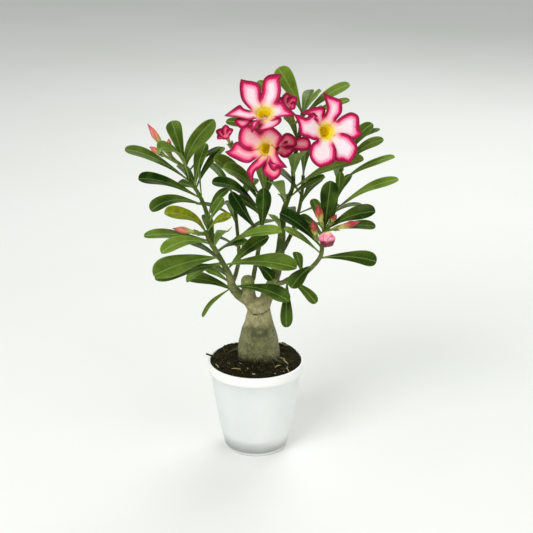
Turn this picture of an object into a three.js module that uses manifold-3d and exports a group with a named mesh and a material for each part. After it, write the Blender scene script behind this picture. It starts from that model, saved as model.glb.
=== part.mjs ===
// A desert rose in a plain tapered pot: a swollen forked trunk in dark potting mix, leafy branches, six
// trumpet blooms and nine buds. Millimetres, +Z up, origin at the centre of the pot's flat foot,
// +X to the right and +Y away from the side that the blooms face.
import * as THREE from "three";
import { mergeVertices } from "three/addons/utils/BufferGeometryUtils.js";
import Module from "manifold-3d";

const wasm = await Module();
wasm.setup();

// ---- Driving dimensions ----
const SEAT_GAP = 0.3; // clearance where one piece rests in or on another
const POT_HEIGHT = 96;
const RIM_RADIUS = 49;
const LIP_HEIGHT = 10.5;
const LIP_OVERHANG = 1.6;
const WALL = 1.8;
const POT_SIDES = 32;
const FOOT_RADIUS = 29;
const DRAIN_RING_RADIUS = 17;
const DRAIN_RADIUS = 3.5;
const DRAIN_COUNT = 4;
const SOIL_EDGE = 95.2; // height of the potting mix at the pot's wall
const SOIL_MOUND = 100; // and where it is heaped round the caudex
const TRUNK_X = 3.5; // the caudex stands a little right of the pot's centre
const ROOT_TIP = 46; // height of the caudex's buried end
const LEAF_EDGE = 0.6; // thickness at the margin
const LEAF_MIDRIB = 1.3; // thickness at the midrib
const LEAF_FOLD = 24; // degrees that each half of a leaf rises from its midrib
const PETAL_THICKNESS = 0.7;
const CALYX_HEIGHT = 2;
const GOLDEN_SHARE = 0.382; // of a turn from one leaf to the next

// ---- Materials ----
const paint = (color, roughness) => new THREE.MeshStandardMaterial({ color, roughness, metalness: 0 });
const WHITE_POT = paint(0xe6ebe8, 0.45);
const POTTING_MIX = paint(0x1c150c, 0.95);
const BARK = paint(0x8a8a62, 0.8);
const FOLIAGE = paint(0x35591a, 0.4);
const COROLLA = paint(0xf08aa8, 0.55);
const BUD = paint(0xd9705f, 0.5);

// ---- Geometry helpers ----
const radians = THREE.MathUtils.degToRad;
const lerp = THREE.MathUtils.lerp;
const vector = (p) => new THREE.Vector3(...p);
const UP = new THREE.Vector3(0, 0, 1);
const RIGHT = new THREE.Vector3(1, 0, 0);

// A closed geometry as a manifold-3d solid.
function solid(geometry) {
  const bare = geometry.clone();
  bare.deleteAttribute("normal");
  bare.deleteAttribute("uv");
  const merged = mergeVertices(bare, 1e-4);
  const vertProperties = merged.attributes.position.array;
  const triVerts = new Uint32Array(merged.index.array);
  return new wasm.Manifold(new wasm.Mesh({ numProp: 3, vertProperties, triVerts }));
}

const fuse = (solids) => wasm.Manifold.union(solids);

// A named mesh from a solid.
function node(name, body, material) {
  const { numVert, numProp, vertProperties, triVerts } = body.getMesh();
  const positions = new Float32Array(numVert * 3);
  for (let i = 0; i < numVert; i++) {
    positions.set(vertProperties.subarray(i * numProp, i * numProp + 3), i * 3);
  }
  const geometry = new THREE.BufferGeometry();
  geometry.setAttribute("position", new THREE.BufferAttribute(positions, 3));
  geometry.setIndex(new THREE.BufferAttribute(triVerts, 1));
  geometry.computeVertexNormals();
  const mesh = new THREE.Mesh(geometry, material);
  mesh.name = name;
  return mesh;
}

function indexed(points, faces) {
  const geometry = new THREE.BufferGeometry().setFromPoints(points);
  return geometry.setIndex(faces);
}

// A body of revolution about Z from [radius, height] pairs.
function turned(profile, segments) {
  const points = profile.map(([radius, height]) => new THREE.Vector2(radius, height));
  return new THREE.LatheGeometry(points, segments).rotateX(Math.PI / 2);
}

// The closed skin through a row of rings, each end closed by a fan to its centre.
function loft(rings) {
  const sides = rings[0].length;
  const middle = (ring) => ring.reduce((sum, p) => sum.add(p), new THREE.Vector3()).divideScalar(sides);
  const points = [...rings.flat(), middle(rings[0]), middle(rings.at(-1))];
  const start = points.length - 2;
  const end = points.length - 1;
  const faces = [];
  for (let side = 0; side < sides; side++) {
    const next = (side + 1) % sides;
    for (let ring = 0; ring < rings.length - 1; ring++) {
      const low = ring * sides;
      const high = low + sides;
      faces.push(low + side, low + next, high + next);
      faces.push(low + side, high + next, high + side);
    }
    const last = (rings.length - 1) * sides;
    faces.push(start, next, side);
    faces.push(end, last + side, last + next);
  }
  return solid(indexed(points, faces));
}

// A tapering tube along part of a curve; radiusAt takes the fraction of the whole curve.
function tube(curve, from, to, radiusAt, sides, steps) {
  const rings = [];
  let across = null;
  for (let step = 0; step <= steps; step++) {
    const u = lerp(from, to, step / steps);
    const centre = curve.getPointAt(u);
    const tangent = curve.getTangentAt(u);
    across ??= new THREE.Vector3().crossVectors(Math.abs(tangent.z) < 0.9 ? UP : RIGHT, tangent);
    across.addScaledVector(tangent, -across.dot(tangent)).normalize();
    const other = new THREE.Vector3().crossVectors(tangent, across);
    const ring = [];
    for (let side = 0; side < sides; side++) {
      const angle = (2 * Math.PI * side) / sides;
      const point = centre.clone().addScaledVector(across, radiusAt(u) * Math.cos(angle));
      ring.push(point.addScaledVector(other, radiusAt(u) * Math.sin(angle)));
    }
    rings.push(ring);
  }
  return loft(rings);
}

// A thin blade from rows of points: each row holds points across the upper face and the same across the
// lower one. Both faces are split into triangles alike, so they never cross.
function blade(rows) {
  const across = rows[0].upper.length;
  const points = rows.flatMap((row) => [...row.upper, ...row.lower]);
  const at = (row, column, face) => (2 * row + face) * across + column;
  const faces = [];
  const quad = (a, b, c, d) => faces.push(a, b, c, a, c, d);
  const last = rows.length - 1;
  for (let row = 0; row < last; row++) {
    for (let column = 0; column < across - 1; column++) {
      const a = at(row, column, 0);
      const b = at(row, column + 1, 0);
      const c = at(row + 1, column + 1, 0);
      const d = at(row + 1, column, 0);
      quad(a, b, c, d);
      faces.push(a + across, c + across, b + across, a + across, d + across, c + across);
    }
    quad(at(row, 0, 1), at(row, 0, 0), at(row + 1, 0, 0), at(row + 1, 0, 1));
    const edge = across - 1;
    quad(at(row, edge, 0), at(row, edge, 1), at(row + 1, edge, 1), at(row + 1, edge, 0));
  }
  for (let column = 0; column < across - 1; column++) {
    quad(at(0, column, 0), at(0, column, 1), at(0, column + 1, 1), at(0, column + 1, 0));
    quad(at(last, column, 0), at(last, column + 1, 0), at(last, column + 1, 1), at(last, column, 1));
  }
  return solid(indexed(points, faces));
}

// Random numbers from 0 to 1 that are the same each time.
function seeded(seed) {
  let state = seed;
  return () => {
    state = (state * 1664525 + 1013904223) % 4294967296;
    return state / 4294967296;
  };
}

// ---- Pot: moulded in one piece, with a lip band, a rounded bottom corner and drainage holes ----
const BODY_PROFILE = [
  [FOOT_RADIUS, 0],
  [31.4, 1.2],
  [32.6, 4],
  [36.6, 21],
  [41.6, 49],
  [RIM_RADIUS - LIP_OVERHANG - 0.9, POT_HEIGHT - LIP_HEIGHT],
];
const FLOOR = 2.6;
// The inside of the bottom, from the middle of the floor to the foot of the wall.
const CORNER = [[0, FLOOR], [27.2, FLOOR], [29.6, FLOOR + 0.9], [31.2, FLOOR + 3]];

function pot() {
  const lipBottom = POT_HEIGHT - LIP_HEIGHT;
  const outer = [
    ...BODY_PROFILE,
    [RIM_RADIUS - 0.6, lipBottom],
    [RIM_RADIUS, lipBottom + 1],
    [RIM_RADIUS, POT_HEIGHT - 0.9],
    [RIM_RADIUS - 0.8, POT_HEIGHT],
    [RIM_RADIUS - WALL, POT_HEIGHT],
  ];
  const inner = BODY_PROFILE.slice(3).reverse().map(([radius, height]) => [radius - WALL, height]);
  const profile = [[0, 0], ...outer, ...inner, ...CORNER.toReversed()];
  let body = solid(turned(profile, POT_SIDES));
  for (let i = 0; i < DRAIN_COUNT; i++) {
    const angle = (2 * Math.PI * (i + 0.5)) / DRAIN_COUNT;
    const drill = new THREE.CylinderGeometry(DRAIN_RADIUS, DRAIN_RADIUS, 4 * FLOOR, 10).rotateX(Math.PI / 2);
    drill.translate(DRAIN_RING_RADIUS * Math.cos(angle), DRAIN_RING_RADIUS * Math.sin(angle), FLOOR / 2);
    body = body.subtract(solid(drill));
  }
  return node("pot", body, WHITE_POT);
}

// ---- Trunk: a conical caudex that forks into three woody stubs ----
const CAUDEX_PROFILE = [
  [5, ROOT_TIP],
  [14, 65],
  [20, 80],
  [22.6, 94],
  [21.6, 104],
  [20, 117],
  [17.4, 128],
  [13.8, 139],
  [12, 149],
  [11.4, 156],
  [9, 160],
  [4, 163],
];

// The caudex with a margin added all over, so that the soil's hole follows it.
function caudex(margin) {
  const sides = 20;
  const rings = CAUDEX_PROFILE.map(([radius, height], i) => {
    const ring = [];
    for (let side = 0; side < sides; side++) {
      const angle = (2 * Math.PI * side) / sides;
      const lobes = 1 + 0.035 * Math.sin(3 * angle + height / 25) + 0.02 * Math.sin(7 * angle - height / 18);
      const reach = radius * lobes + margin;
      const z = i === 0 ? height - margin : height;
      ring.push(new THREE.Vector3(TRUNK_X + reach * Math.cos(angle), 0.94 * reach * Math.sin(angle), z));
    }
    return ring;
  });
  return loft(rings);
}

// ---- Soil: fills the pot to its rim, is heaped a little, and has a plain hole for the caudex ----
function soil() {
  const side = BODY_PROFILE.slice(3).map(([radius, height]) => [radius - WALL - SEAT_GAP, height]);
  const edge = side.at(-1)[0];
  const corner = CORNER.map(([radius, height]) => [Math.max(0, radius - SEAT_GAP), height + SEAT_GAP]);
  const top = [edge - 1.5, 37, 29, 21].map((radius) => {
    const share = (edge - radius) / (edge - 24);
    return [radius, lerp(SOIL_EDGE, SOIL_MOUND, Math.min(1, share))];
  });
  const column = turned([...corner, ...side, [edge, SOIL_EDGE - 0.6], ...top, [0, SOIL_MOUND]], POT_SIDES);
  const position = column.attributes.position;
  for (let i = 0; i < position.count; i++) {
    const [x, y, z] = [position.getX(i), position.getY(i), position.getZ(i)];
    const crumbs = Math.sin(0.43 * x + 1.1) * Math.cos(0.37 * y) + 0.6 * Math.sin(0.9 * y - 0.5 * x);
    if (z > SOIL_EDGE - 0.1) position.setZ(i, z + 0.7 * crumbs);
  }
  return node("soil", solid(column).subtract(caudex(SEAT_GAP)), POTTING_MIX);
}

// ---- Leaves ----
// Half-width along a leaf: a slim stalk that widens to a blunt, spatulate end.
const leafWidth = (t) => 1.65 * t ** 1.1 * Math.sqrt(Math.max(0, 1 - t ** 4));
// Broad leaves are folded along the midrib; slim ones are flat and have fewer rows.
const LEAF_GRID = {
  broad: { stations: [0, 0.28, 0.58, 0.84, 0.985], columns: [-1, 0, 1] },
  slim: { stations: [0, 0.4, 0.78, 0.985], columns: [-1, 1] },
};
const BROAD_FROM = 15.5; // width in millimetres

// One leaf. reach runs from its root to its tip; arch bows it up by that share of its length, with the top
// of the bow at lean, and sway bows it to the right seen from its root; roll turns the blade about its
// midrib; face is the compass angle that the upper side of an upright leaf looks to.
function leaf(root, { reach, width, arch = 0.12, lean = 0.55, sway = 0, roll = 0, face }) {
  const span = vector(reach);
  const outward = face === undefined
    ? new THREE.Vector3(span.x, span.y, 0).normalize()
    : new THREE.Vector3(-Math.cos(radians(face)), -Math.sin(radians(face)), 0);
  const side = new THREE.Vector3().crossVectors(outward, UP);
  const rise = new THREE.Vector3().crossVectors(side, span).normalize();
  const control = root.clone().addScaledVector(span, lean).addScaledVector(rise, 2 * arch * span.length());
  control.addScaledVector(side, 2 * sway * span.length());
  const midrib = new THREE.QuadraticBezierCurve3(root, control, root.clone().add(span));
  const { stations, columns } = width < BROAD_FROM ? LEAF_GRID.slim : LEAF_GRID.broad;
  const fold = columns.length > 2 ? LEAF_FOLD : 0;
  const rows = stations.map((t) => {
    const centre = midrib.getPoint(t);
    const tangent = midrib.getTangent(t);
    const across = side.clone().addScaledVector(tangent, -side.dot(tangent)).normalize();
    across.applyAxisAngle(tangent, radians(roll));
    const normal = new THREE.Vector3().crossVectors(across, tangent);
    const half = Math.max(1, (width / 2) * leafWidth(t));
    const drop = half * Math.tan(radians(fold)) * Math.min(1, 3 * t);
    const spread = Math.cos(radians(fold) * Math.min(1, 3 * t));
    const row = (thickness) => columns.map((s) => {
      const thick = thickness * (s === 0 ? LEAF_MIDRIB : LEAF_EDGE);
      const lift = Math.abs(s) * drop * spread + thick;
      return centre.clone().addScaledVector(across, s * half * spread).addScaledVector(normal, lift);
    });
    return { upper: row(0.5), lower: row(-0.5) };
  });
  return blade(rows);
}

// ---- Branches: each runs from inside the caudex, or from its parent, to its tip ----
// wood is the share of the branch that belongs to the trunk; radii are those at its start and tip.
// Each leaf leaves the branch at the share "at" of its length.
const KNOB = {
  curve: new THREE.CatmullRomCurve3([[-1, 1, 150], [-6, 2, 162], [-7.5, 3, 174], [-9, 3, 186]].map(vector)),
  radiusAt: (u) => 7 * Math.sqrt(1 - 0.75 * u ** 7),
};
const BRANCHES = {
  left: {
    points: [
      [-1, 0, 146], [-5, 0, 158], [-14.5, -1, 165], [-22.5, -2, 175], [-27, -4, 191],
      [-33.5, -6, 205], [-40, -8, 218], [-45, -10, 228], [-48, -10, 238],
    ],
    radii: [7, 2.6],
    wood: 0.26,
    leaves: [
      { at: 0.93, reach: [-41, -22, 32], width: 18, arch: 0.15, lean: 0.45, roll: -35 },
      { at: 0.98, reach: [24, -19, 22], width: 12, arch: 0.12, roll: 45 },
      { at: 0.89, reach: [-63, -20, 12], width: 14, arch: 0.06, roll: -30 },
      { at: 0.85, reach: [-47, -39, 5], width: 16, arch: 0.13, roll: -35 },
      { at: 0.82, reach: [16, -39, 30], width: 17, arch: 0.06 },
      { at: 0.77, reach: [64, -44, 35], width: 16, arch: 0.07, roll: 30 },
      { at: 0.75, reach: [27, -28, 19], width: 11, arch: 0.09, roll: 30 },
      { at: 0.7, reach: [-61, -53, 0], width: 25, arch: 0.05, roll: -45 },
      { at: 0.62, reach: [-65, -38, -2], width: 17, arch: 0.03, roll: -40 },
      { at: 0.37, reach: [56, -34, -3], width: 19, arch: 0.06, sway: -0.04, roll: 25 },
      { at: 0.64, reach: [-37, 11, -24], width: 13, arch: 0.07, roll: -30 },
      { at: 0.31, reach: [-50, 24, 5], width: 16, arch: 0.06, roll: -30 },
      { at: 0.36, reach: [-30, -18, -25], width: 14, arch: 0.09, roll: -70 },
      { at: 0.39, reach: [-26, -10, 20], width: 10, arch: 0.05, roll: -30 },
      { at: 0.61, reach: [71, -43, 12], width: 22, arch: 0.06, roll: 35 },
      { at: 0.55, reach: [42, -15, 40], width: 18, arch: 0.05, roll: 50 },
    ],
  },
  left_high: {
    parent: "left",
    points: [
      [-43, -9, 224], [-44, -6, 235], [-46, -3, 245], [-50, 2, 259], [-57, 6, 273],
      [-64, 9, 283], [-69, 12, 297],
    ],
    radii: [2.4, 1.9],
    wood: 0,
    leaves: [
      { at: 0.8, reach: [-62, -16, 37], width: 15, arch: 0.07, lean: 0.65, roll: -35 },
      { at: 0.83, reach: [-27, -39, 41], width: 19, arch: 0.18, lean: 0.6, roll: -30 },
      { at: 0.98, reach: [-12, -10, 50], width: 19, arch: 0.03, face: -70 },
      { at: 0.96, reach: [29, -19, 55], width: 20, arch: 0.06, sway: -0.12, roll: 20, face: -100 },
      { at: 0.72, reach: [12, 7, 43], width: 16, arch: 0.07, face: -120 },
      { at: 0.7, reach: [28, 23, 36], width: 13, arch: 0.08 },
      { at: 0.54, reach: [-1, 4, 38], width: 12, arch: 0.03, face: 180 },
      { at: 0.57, reach: [-59, -19, 25], width: 17, arch: 0.07, lean: 0.65, roll: -35 },
      { at: 0.71, reach: [-20, 23, -3], width: 12, arch: 0.06, roll: -30 },
      { at: 0.48, reach: [-50, -23, 1], width: 18, arch: 0.15, lean: 0.65, roll: -30 },
      { at: 0.31, reach: [21, 4, 29], width: 12, arch: 0.12, roll: 30 },
      { at: 0.26, reach: [15, -7, 27], width: 10, arch: 0.03, roll: 70 },
    ],
  },
  mid: {
    points: [
      [-8, 3, 170], [-3, 7, 180], [-1, 8, 190], [2, 9, 206], [6, 11, 232],
      [9, 12, 258], [12, 9, 290], [12, 6, 308],
    ],
    radii: [2.4, 1.9],
    wood: 0.06,
    leaves: [
      { at: 0.42, reach: [-28, -22, 52], width: 17, arch: 0.05, roll: -40, face: -80 },
      { at: 0.46, reach: [2, -19, 49], width: 17, arch: 0.04, face: -80 },
      { at: 0.61, reach: [-48, -30, 59], width: 20, arch: 0.07, roll: -55 },
      { at: 0.65, reach: [-39, -42, 48], width: 19, arch: 0.08, roll: -50 },
      { at: 0.57, reach: [-50, -16, 37], width: 17, arch: 0.12, lean: 0.65, roll: -30 },
      { at: 0.54, reach: [-26, 2, 22], width: 11, arch: 0.07, roll: -30 },
      { at: 0.69, reach: [-6, -16, 40], width: 11, arch: 0.04 },
      { at: 0.68, reach: [6, 14, 22], width: 11, arch: 0.06 },
      { at: 0.2, reach: [17, -20, -9], width: 12, arch: 0.08, roll: 30 },
      { at: 0.3, reach: [-23, -14, 16], width: 13, arch: 0.08, roll: -30 },
    ],
  },
  centre: {
    points: [
      [5, 0, 146], [10, 0, 161], [16, 1, 177], [21, 3, 192], [25, 5, 215],
      [28, 7, 252], [31, 8, 262], [37, 9, 278], [37, 9, 305], [41, 9, 317],
      [46, 8, 353],
    ],
    radii: [7.5, 2],
    wood: 0.2,
    leaves: [
      { at: 0.56, reach: [-15, -46, 34], width: 19, arch: 0.06 },
      { at: 0.68, reach: [2, -21, 31], width: 13, arch: 0.06 },
      { at: 0.71, reach: [13, -17, 27], width: 10, arch: 0.06 },
      { at: 0.63, reach: [68, -23, 36], width: 18, arch: 0.06, roll: 30 },
      { at: 0.58, reach: [35, -18, 27], width: 13, arch: 0.05, roll: 30 },
      { at: 0.42, reach: [-12, -18, 23], width: 11, arch: 0.06 },
      { at: 0.99, reach: [-24, -2, 45], width: 20, arch: 0.06, roll: -10, face: -60 },
      { at: 0.99, reach: [17, -10, 25], width: 12, arch: 0.02, roll: 40 },
      { at: 0.97, reach: [46, 4, 32], width: 14, arch: 0.07, roll: 30 },
      { at: 0.95, reach: [46, -6, 23], width: 10, arch: 0.06, roll: 30 },
      { at: 0.93, reach: [21, -10, 21], width: 11, arch: 0.04, roll: 30 },
      { at: 0.87, reach: [-40, 30, 51], width: 14, arch: 0.06, roll: -30 },
      { at: 0.83, reach: [-70, 21, 21], width: 14, arch: 0.07, roll: -30 },
      { at: 0.88, reach: [-15, -8, 21], width: 11, arch: 0.04 },
      { at: 0.85, reach: [-13, 11, 29], width: 12, arch: 0.06 },
    ],
  },
  right_low: {
    parent: "centre",
    points: [
      [17, 2, 182], [25, -2, 180], [34, -3, 185], [47, -5, 190], [59, -7, 202],
      [65, -8, 212], [66, -9, 223], [68, -10, 240],
    ],
    radii: [2.6, 2.2],
    wood: 0,
    leaves: [
      { at: 0.19, reach: [-1, -11, -47], width: 14, arch: 0.04, roll: 180, face: -70 },
      { at: 0.21, reach: [27, -13, -21], width: 11, arch: 0.06, roll: 50 },
      { at: 0.55, reach: [-23, -23, -16], width: 17, arch: 0.08, roll: -35 },
      { at: 0.98, reach: [5, -4, 52], width: 20, arch: 0.02, face: -90 },
      { at: 0.98, reach: [48, -18, 25], width: 19, arch: 0.07, roll: 35 },
      { at: 0.96, reach: [50, -5, 7], width: 12, arch: 0.08, roll: 35 },
      { at: 0.88, reach: [-16, 36, 8], width: 11, arch: 0.06 },
      { at: 0.94, reach: [-11, 16, 31], width: 12, arch: 0.05 },
      { at: 0.92, reach: [-24, 14, 15], width: 12, arch: 0.06, roll: -30 },
      { at: 0.77, reach: [-42, 1, 36], width: 19, arch: 0.07, roll: -35 },
      { at: 0.7, reach: [-37, -20, 33], width: 12, arch: 0.04, roll: -35 },
      { at: 0.65, reach: [56, -6, -2], width: 17, arch: 0.06, roll: 50 },
      { at: 0.37, reach: [-7, 15, 19], width: 11, arch: 0.06 },
    ],
  },
  right_high: {
    parent: "right_low",
    points: [
      [67, -9, 232], [74, -2, 244], [79, 4, 260], [81, 9, 279], [84, 13, 293],
      [85, 15, 311],
    ],
    radii: [2.3, 1.7],
    wood: 0,
    leaves: [
      { at: 0.82, reach: [31, 13, 41], width: 14, arch: 0.1, roll: 30 },
      { at: 0.78, reach: [41, -5, 33], width: 14, arch: 0.1, roll: 30 },
      { at: 0.63, reach: [54, -13, 31], width: 11, arch: 0.06, roll: 30 },
      { at: 0.32, reach: [61, -14, 36], width: 14, arch: 0.07, roll: 30 },
      { at: 0.44, reach: [15, 17, 22], width: 11, arch: 0.06 },
      { at: 0.48, reach: [2, -12, 29], width: 10, arch: 0.04, face: -60 },
    ],
  },
  rear_left: {
    parent: "left",
    points: [
      [-24, -2, 178], [-20, 8, 186], [-17, 20, 198], [-18, 32, 216], [-20, 40, 236],
      [-21, 44, 256],
    ],
    radii: [2.3, 1.8],
    wood: 0,
    leaves: [],
  },
  rear_right: {
    parent: "centre",
    points: [
      [24, 4, 208], [30, 14, 214], [38, 26, 228], [44, 34, 246], [47, 38, 264],
      [48, 40, 280],
    ],
    radii: [2.3, 1.8],
    wood: 0,
    leaves: [],
  },
};

// Leaves that go round a stem by the golden angle within a sector of the compass, rising towards its tip.
function rosette({ count, from, to, sector, length, seed }) {
  const random = seeded(seed);
  const [first, last] = sector;
  return Array.from({ length: count }, (_, i) => {
    const azimuth = radians(lerp(first, last, (0.31 + GOLDEN_SHARE * i) % 1));
    const rise = radians(lerp(0, 38, i / count) + 14 * (random() - 0.5));
    const size = length * (0.85 + 0.3 * random());
    const flat = size * Math.cos(rise);
    const reach = [flat * Math.cos(azimuth), flat * Math.sin(azimuth), size * Math.sin(rise)];
    return { at: lerp(from, to, i / (count - 1)), reach, width: 11 + 2 * random(), arch: 0.08 };
  });
}

const BACK = [25, 155]; // compass angles away from the viewer's side
const REAR_LEAVES = {
  left: { count: 3, from: 0.45, to: 0.8, sector: [100, 165], length: 50, seed: 3 },
  left_high: { count: 3, from: 0.35, to: 0.92, sector: BACK, length: 50, seed: 5 },
  mid: { count: 2, from: 0.72, to: 0.88, sector: [70, 115], length: 48, seed: 7 },
  centre: { count: 3, from: 0.54, to: 0.96, sector: [75, 130], length: 52, seed: 11 },
  right_high: { count: 3, from: 0.3, to: 0.95, sector: [10, 120], length: 46, seed: 13 },
  rear_left: { count: 7, from: 0.35, to: 0.98, sector: [20, 200], length: 50, seed: 17 },
  rear_right: { count: 7, from: 0.35, to: 0.98, sector: [-15, 150], length: 50, seed: 19 },
};

for (const branch of Object.values(BRANCHES)) {
  branch.curve = new THREE.CatmullRomCurve3(branch.points.map(vector));
  branch.radiusAt = (u) => lerp(branch.radii[0], branch.radii[1], Math.min(1, 1.6 * u));
}
for (const [name, rule] of Object.entries(REAR_LEAVES)) BRANCHES[name].leaves.push(...rosette(rule));

// A stem with its leaves, clear of the trunk's cut end or of the parent's bark.
function leafyBranch(name) {
  const { parent, curve, radiusAt, wood, leaves } = BRANCHES[name];
  const start = wood > 0 ? wood + SEAT_GAP / curve.getLength() : 0;
  const stem = tube(curve, start, 1, radiusAt, 6, Math.ceil(curve.getLength() / 14));
  const blades = leaves.map((shape) => leaf(curve.getPointAt(shape.at), shape));
  let body = fuse([stem, ...blades, ...stalks(name)]);
  const host = parent ? BRANCHES[parent] : KNOB;
  if (parent || name === "mid") {
    body = body.subtract(tube(host.curve, 0.02, 0.98, (u) => host.radiusAt(u) + SEAT_GAP, 12, 24));
  }
  return node(name, body, FOLIAGE);
}

// The stalks of the blooms and buds that a branch bears, from near its tip.
function stalks(name) {
  const { curve } = BRANCHES[name];
  const from = curve.getPointAt(0.985);
  const blooms = Object.values(BLOOMS).filter(({ branch }) => branch === name);
  const buds = Object.values(BUDS).filter(({ branch }) => branch === name);
  return [
    ...blooms.map((shape) => stalk(from, shape.calyx, tubeLine(shape).first, 3)),
    ...buds.map(({ base, tip }) => stalk(from, base, vector(tip).sub(vector(base)), 2.4)),
  ];
}

function trunk() {
  const stub = ({ curve, wood, radiusAt }) => tube(curve, 0, wood, radiusAt, 12, 6);
  const knob = tube(KNOB.curve, 0, 1, KNOB.radiusAt, 12, 5);
  return node("trunk", fuse([caudex(0), stub(BRANCHES.left), stub(BRANCHES.centre), knob]), BARK);
}

// ---- Blooms: a trumpet tube with five petals that stand on its rim ----
// Each bloom faces along its axis at the throat, and its tube springs from a calyx on a stalk that leaves
// the named branch. A petal is a sheet between two margins, which run from the throat to its corner as seen
// from the front, in millimetres right and up from the throat; counter is the one on its counter-clockwise
// side, which lies over the next petal. The petals rise from the throat's mouth by rise over the distance
// reach; a petal's own rise adds to that, and back sets it behind the others.
function ringOf(length, width, mouth) {
  return Array.from({ length: 5 }, (_, k) => {
    const middle = radians(18 + 72 * k);
    const margin = (side) => [0, 0.35, 0.7, 0.92, 1].map((along) => {
      const reach = mouth + length * along;
      const swell = Math.sin(Math.PI * Math.min(1, 0.25 + 0.75 * along));
      const spread = side * (0.5 * (1 - along) + (0.3 * width * swell) / reach);
      const turn = middle + spread + 0.2 * along;
      return [reach * Math.cos(turn), reach * Math.sin(turn)];
    });
    return { clockwise: margin(-1), counter: margin(1) };
  });
}

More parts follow.
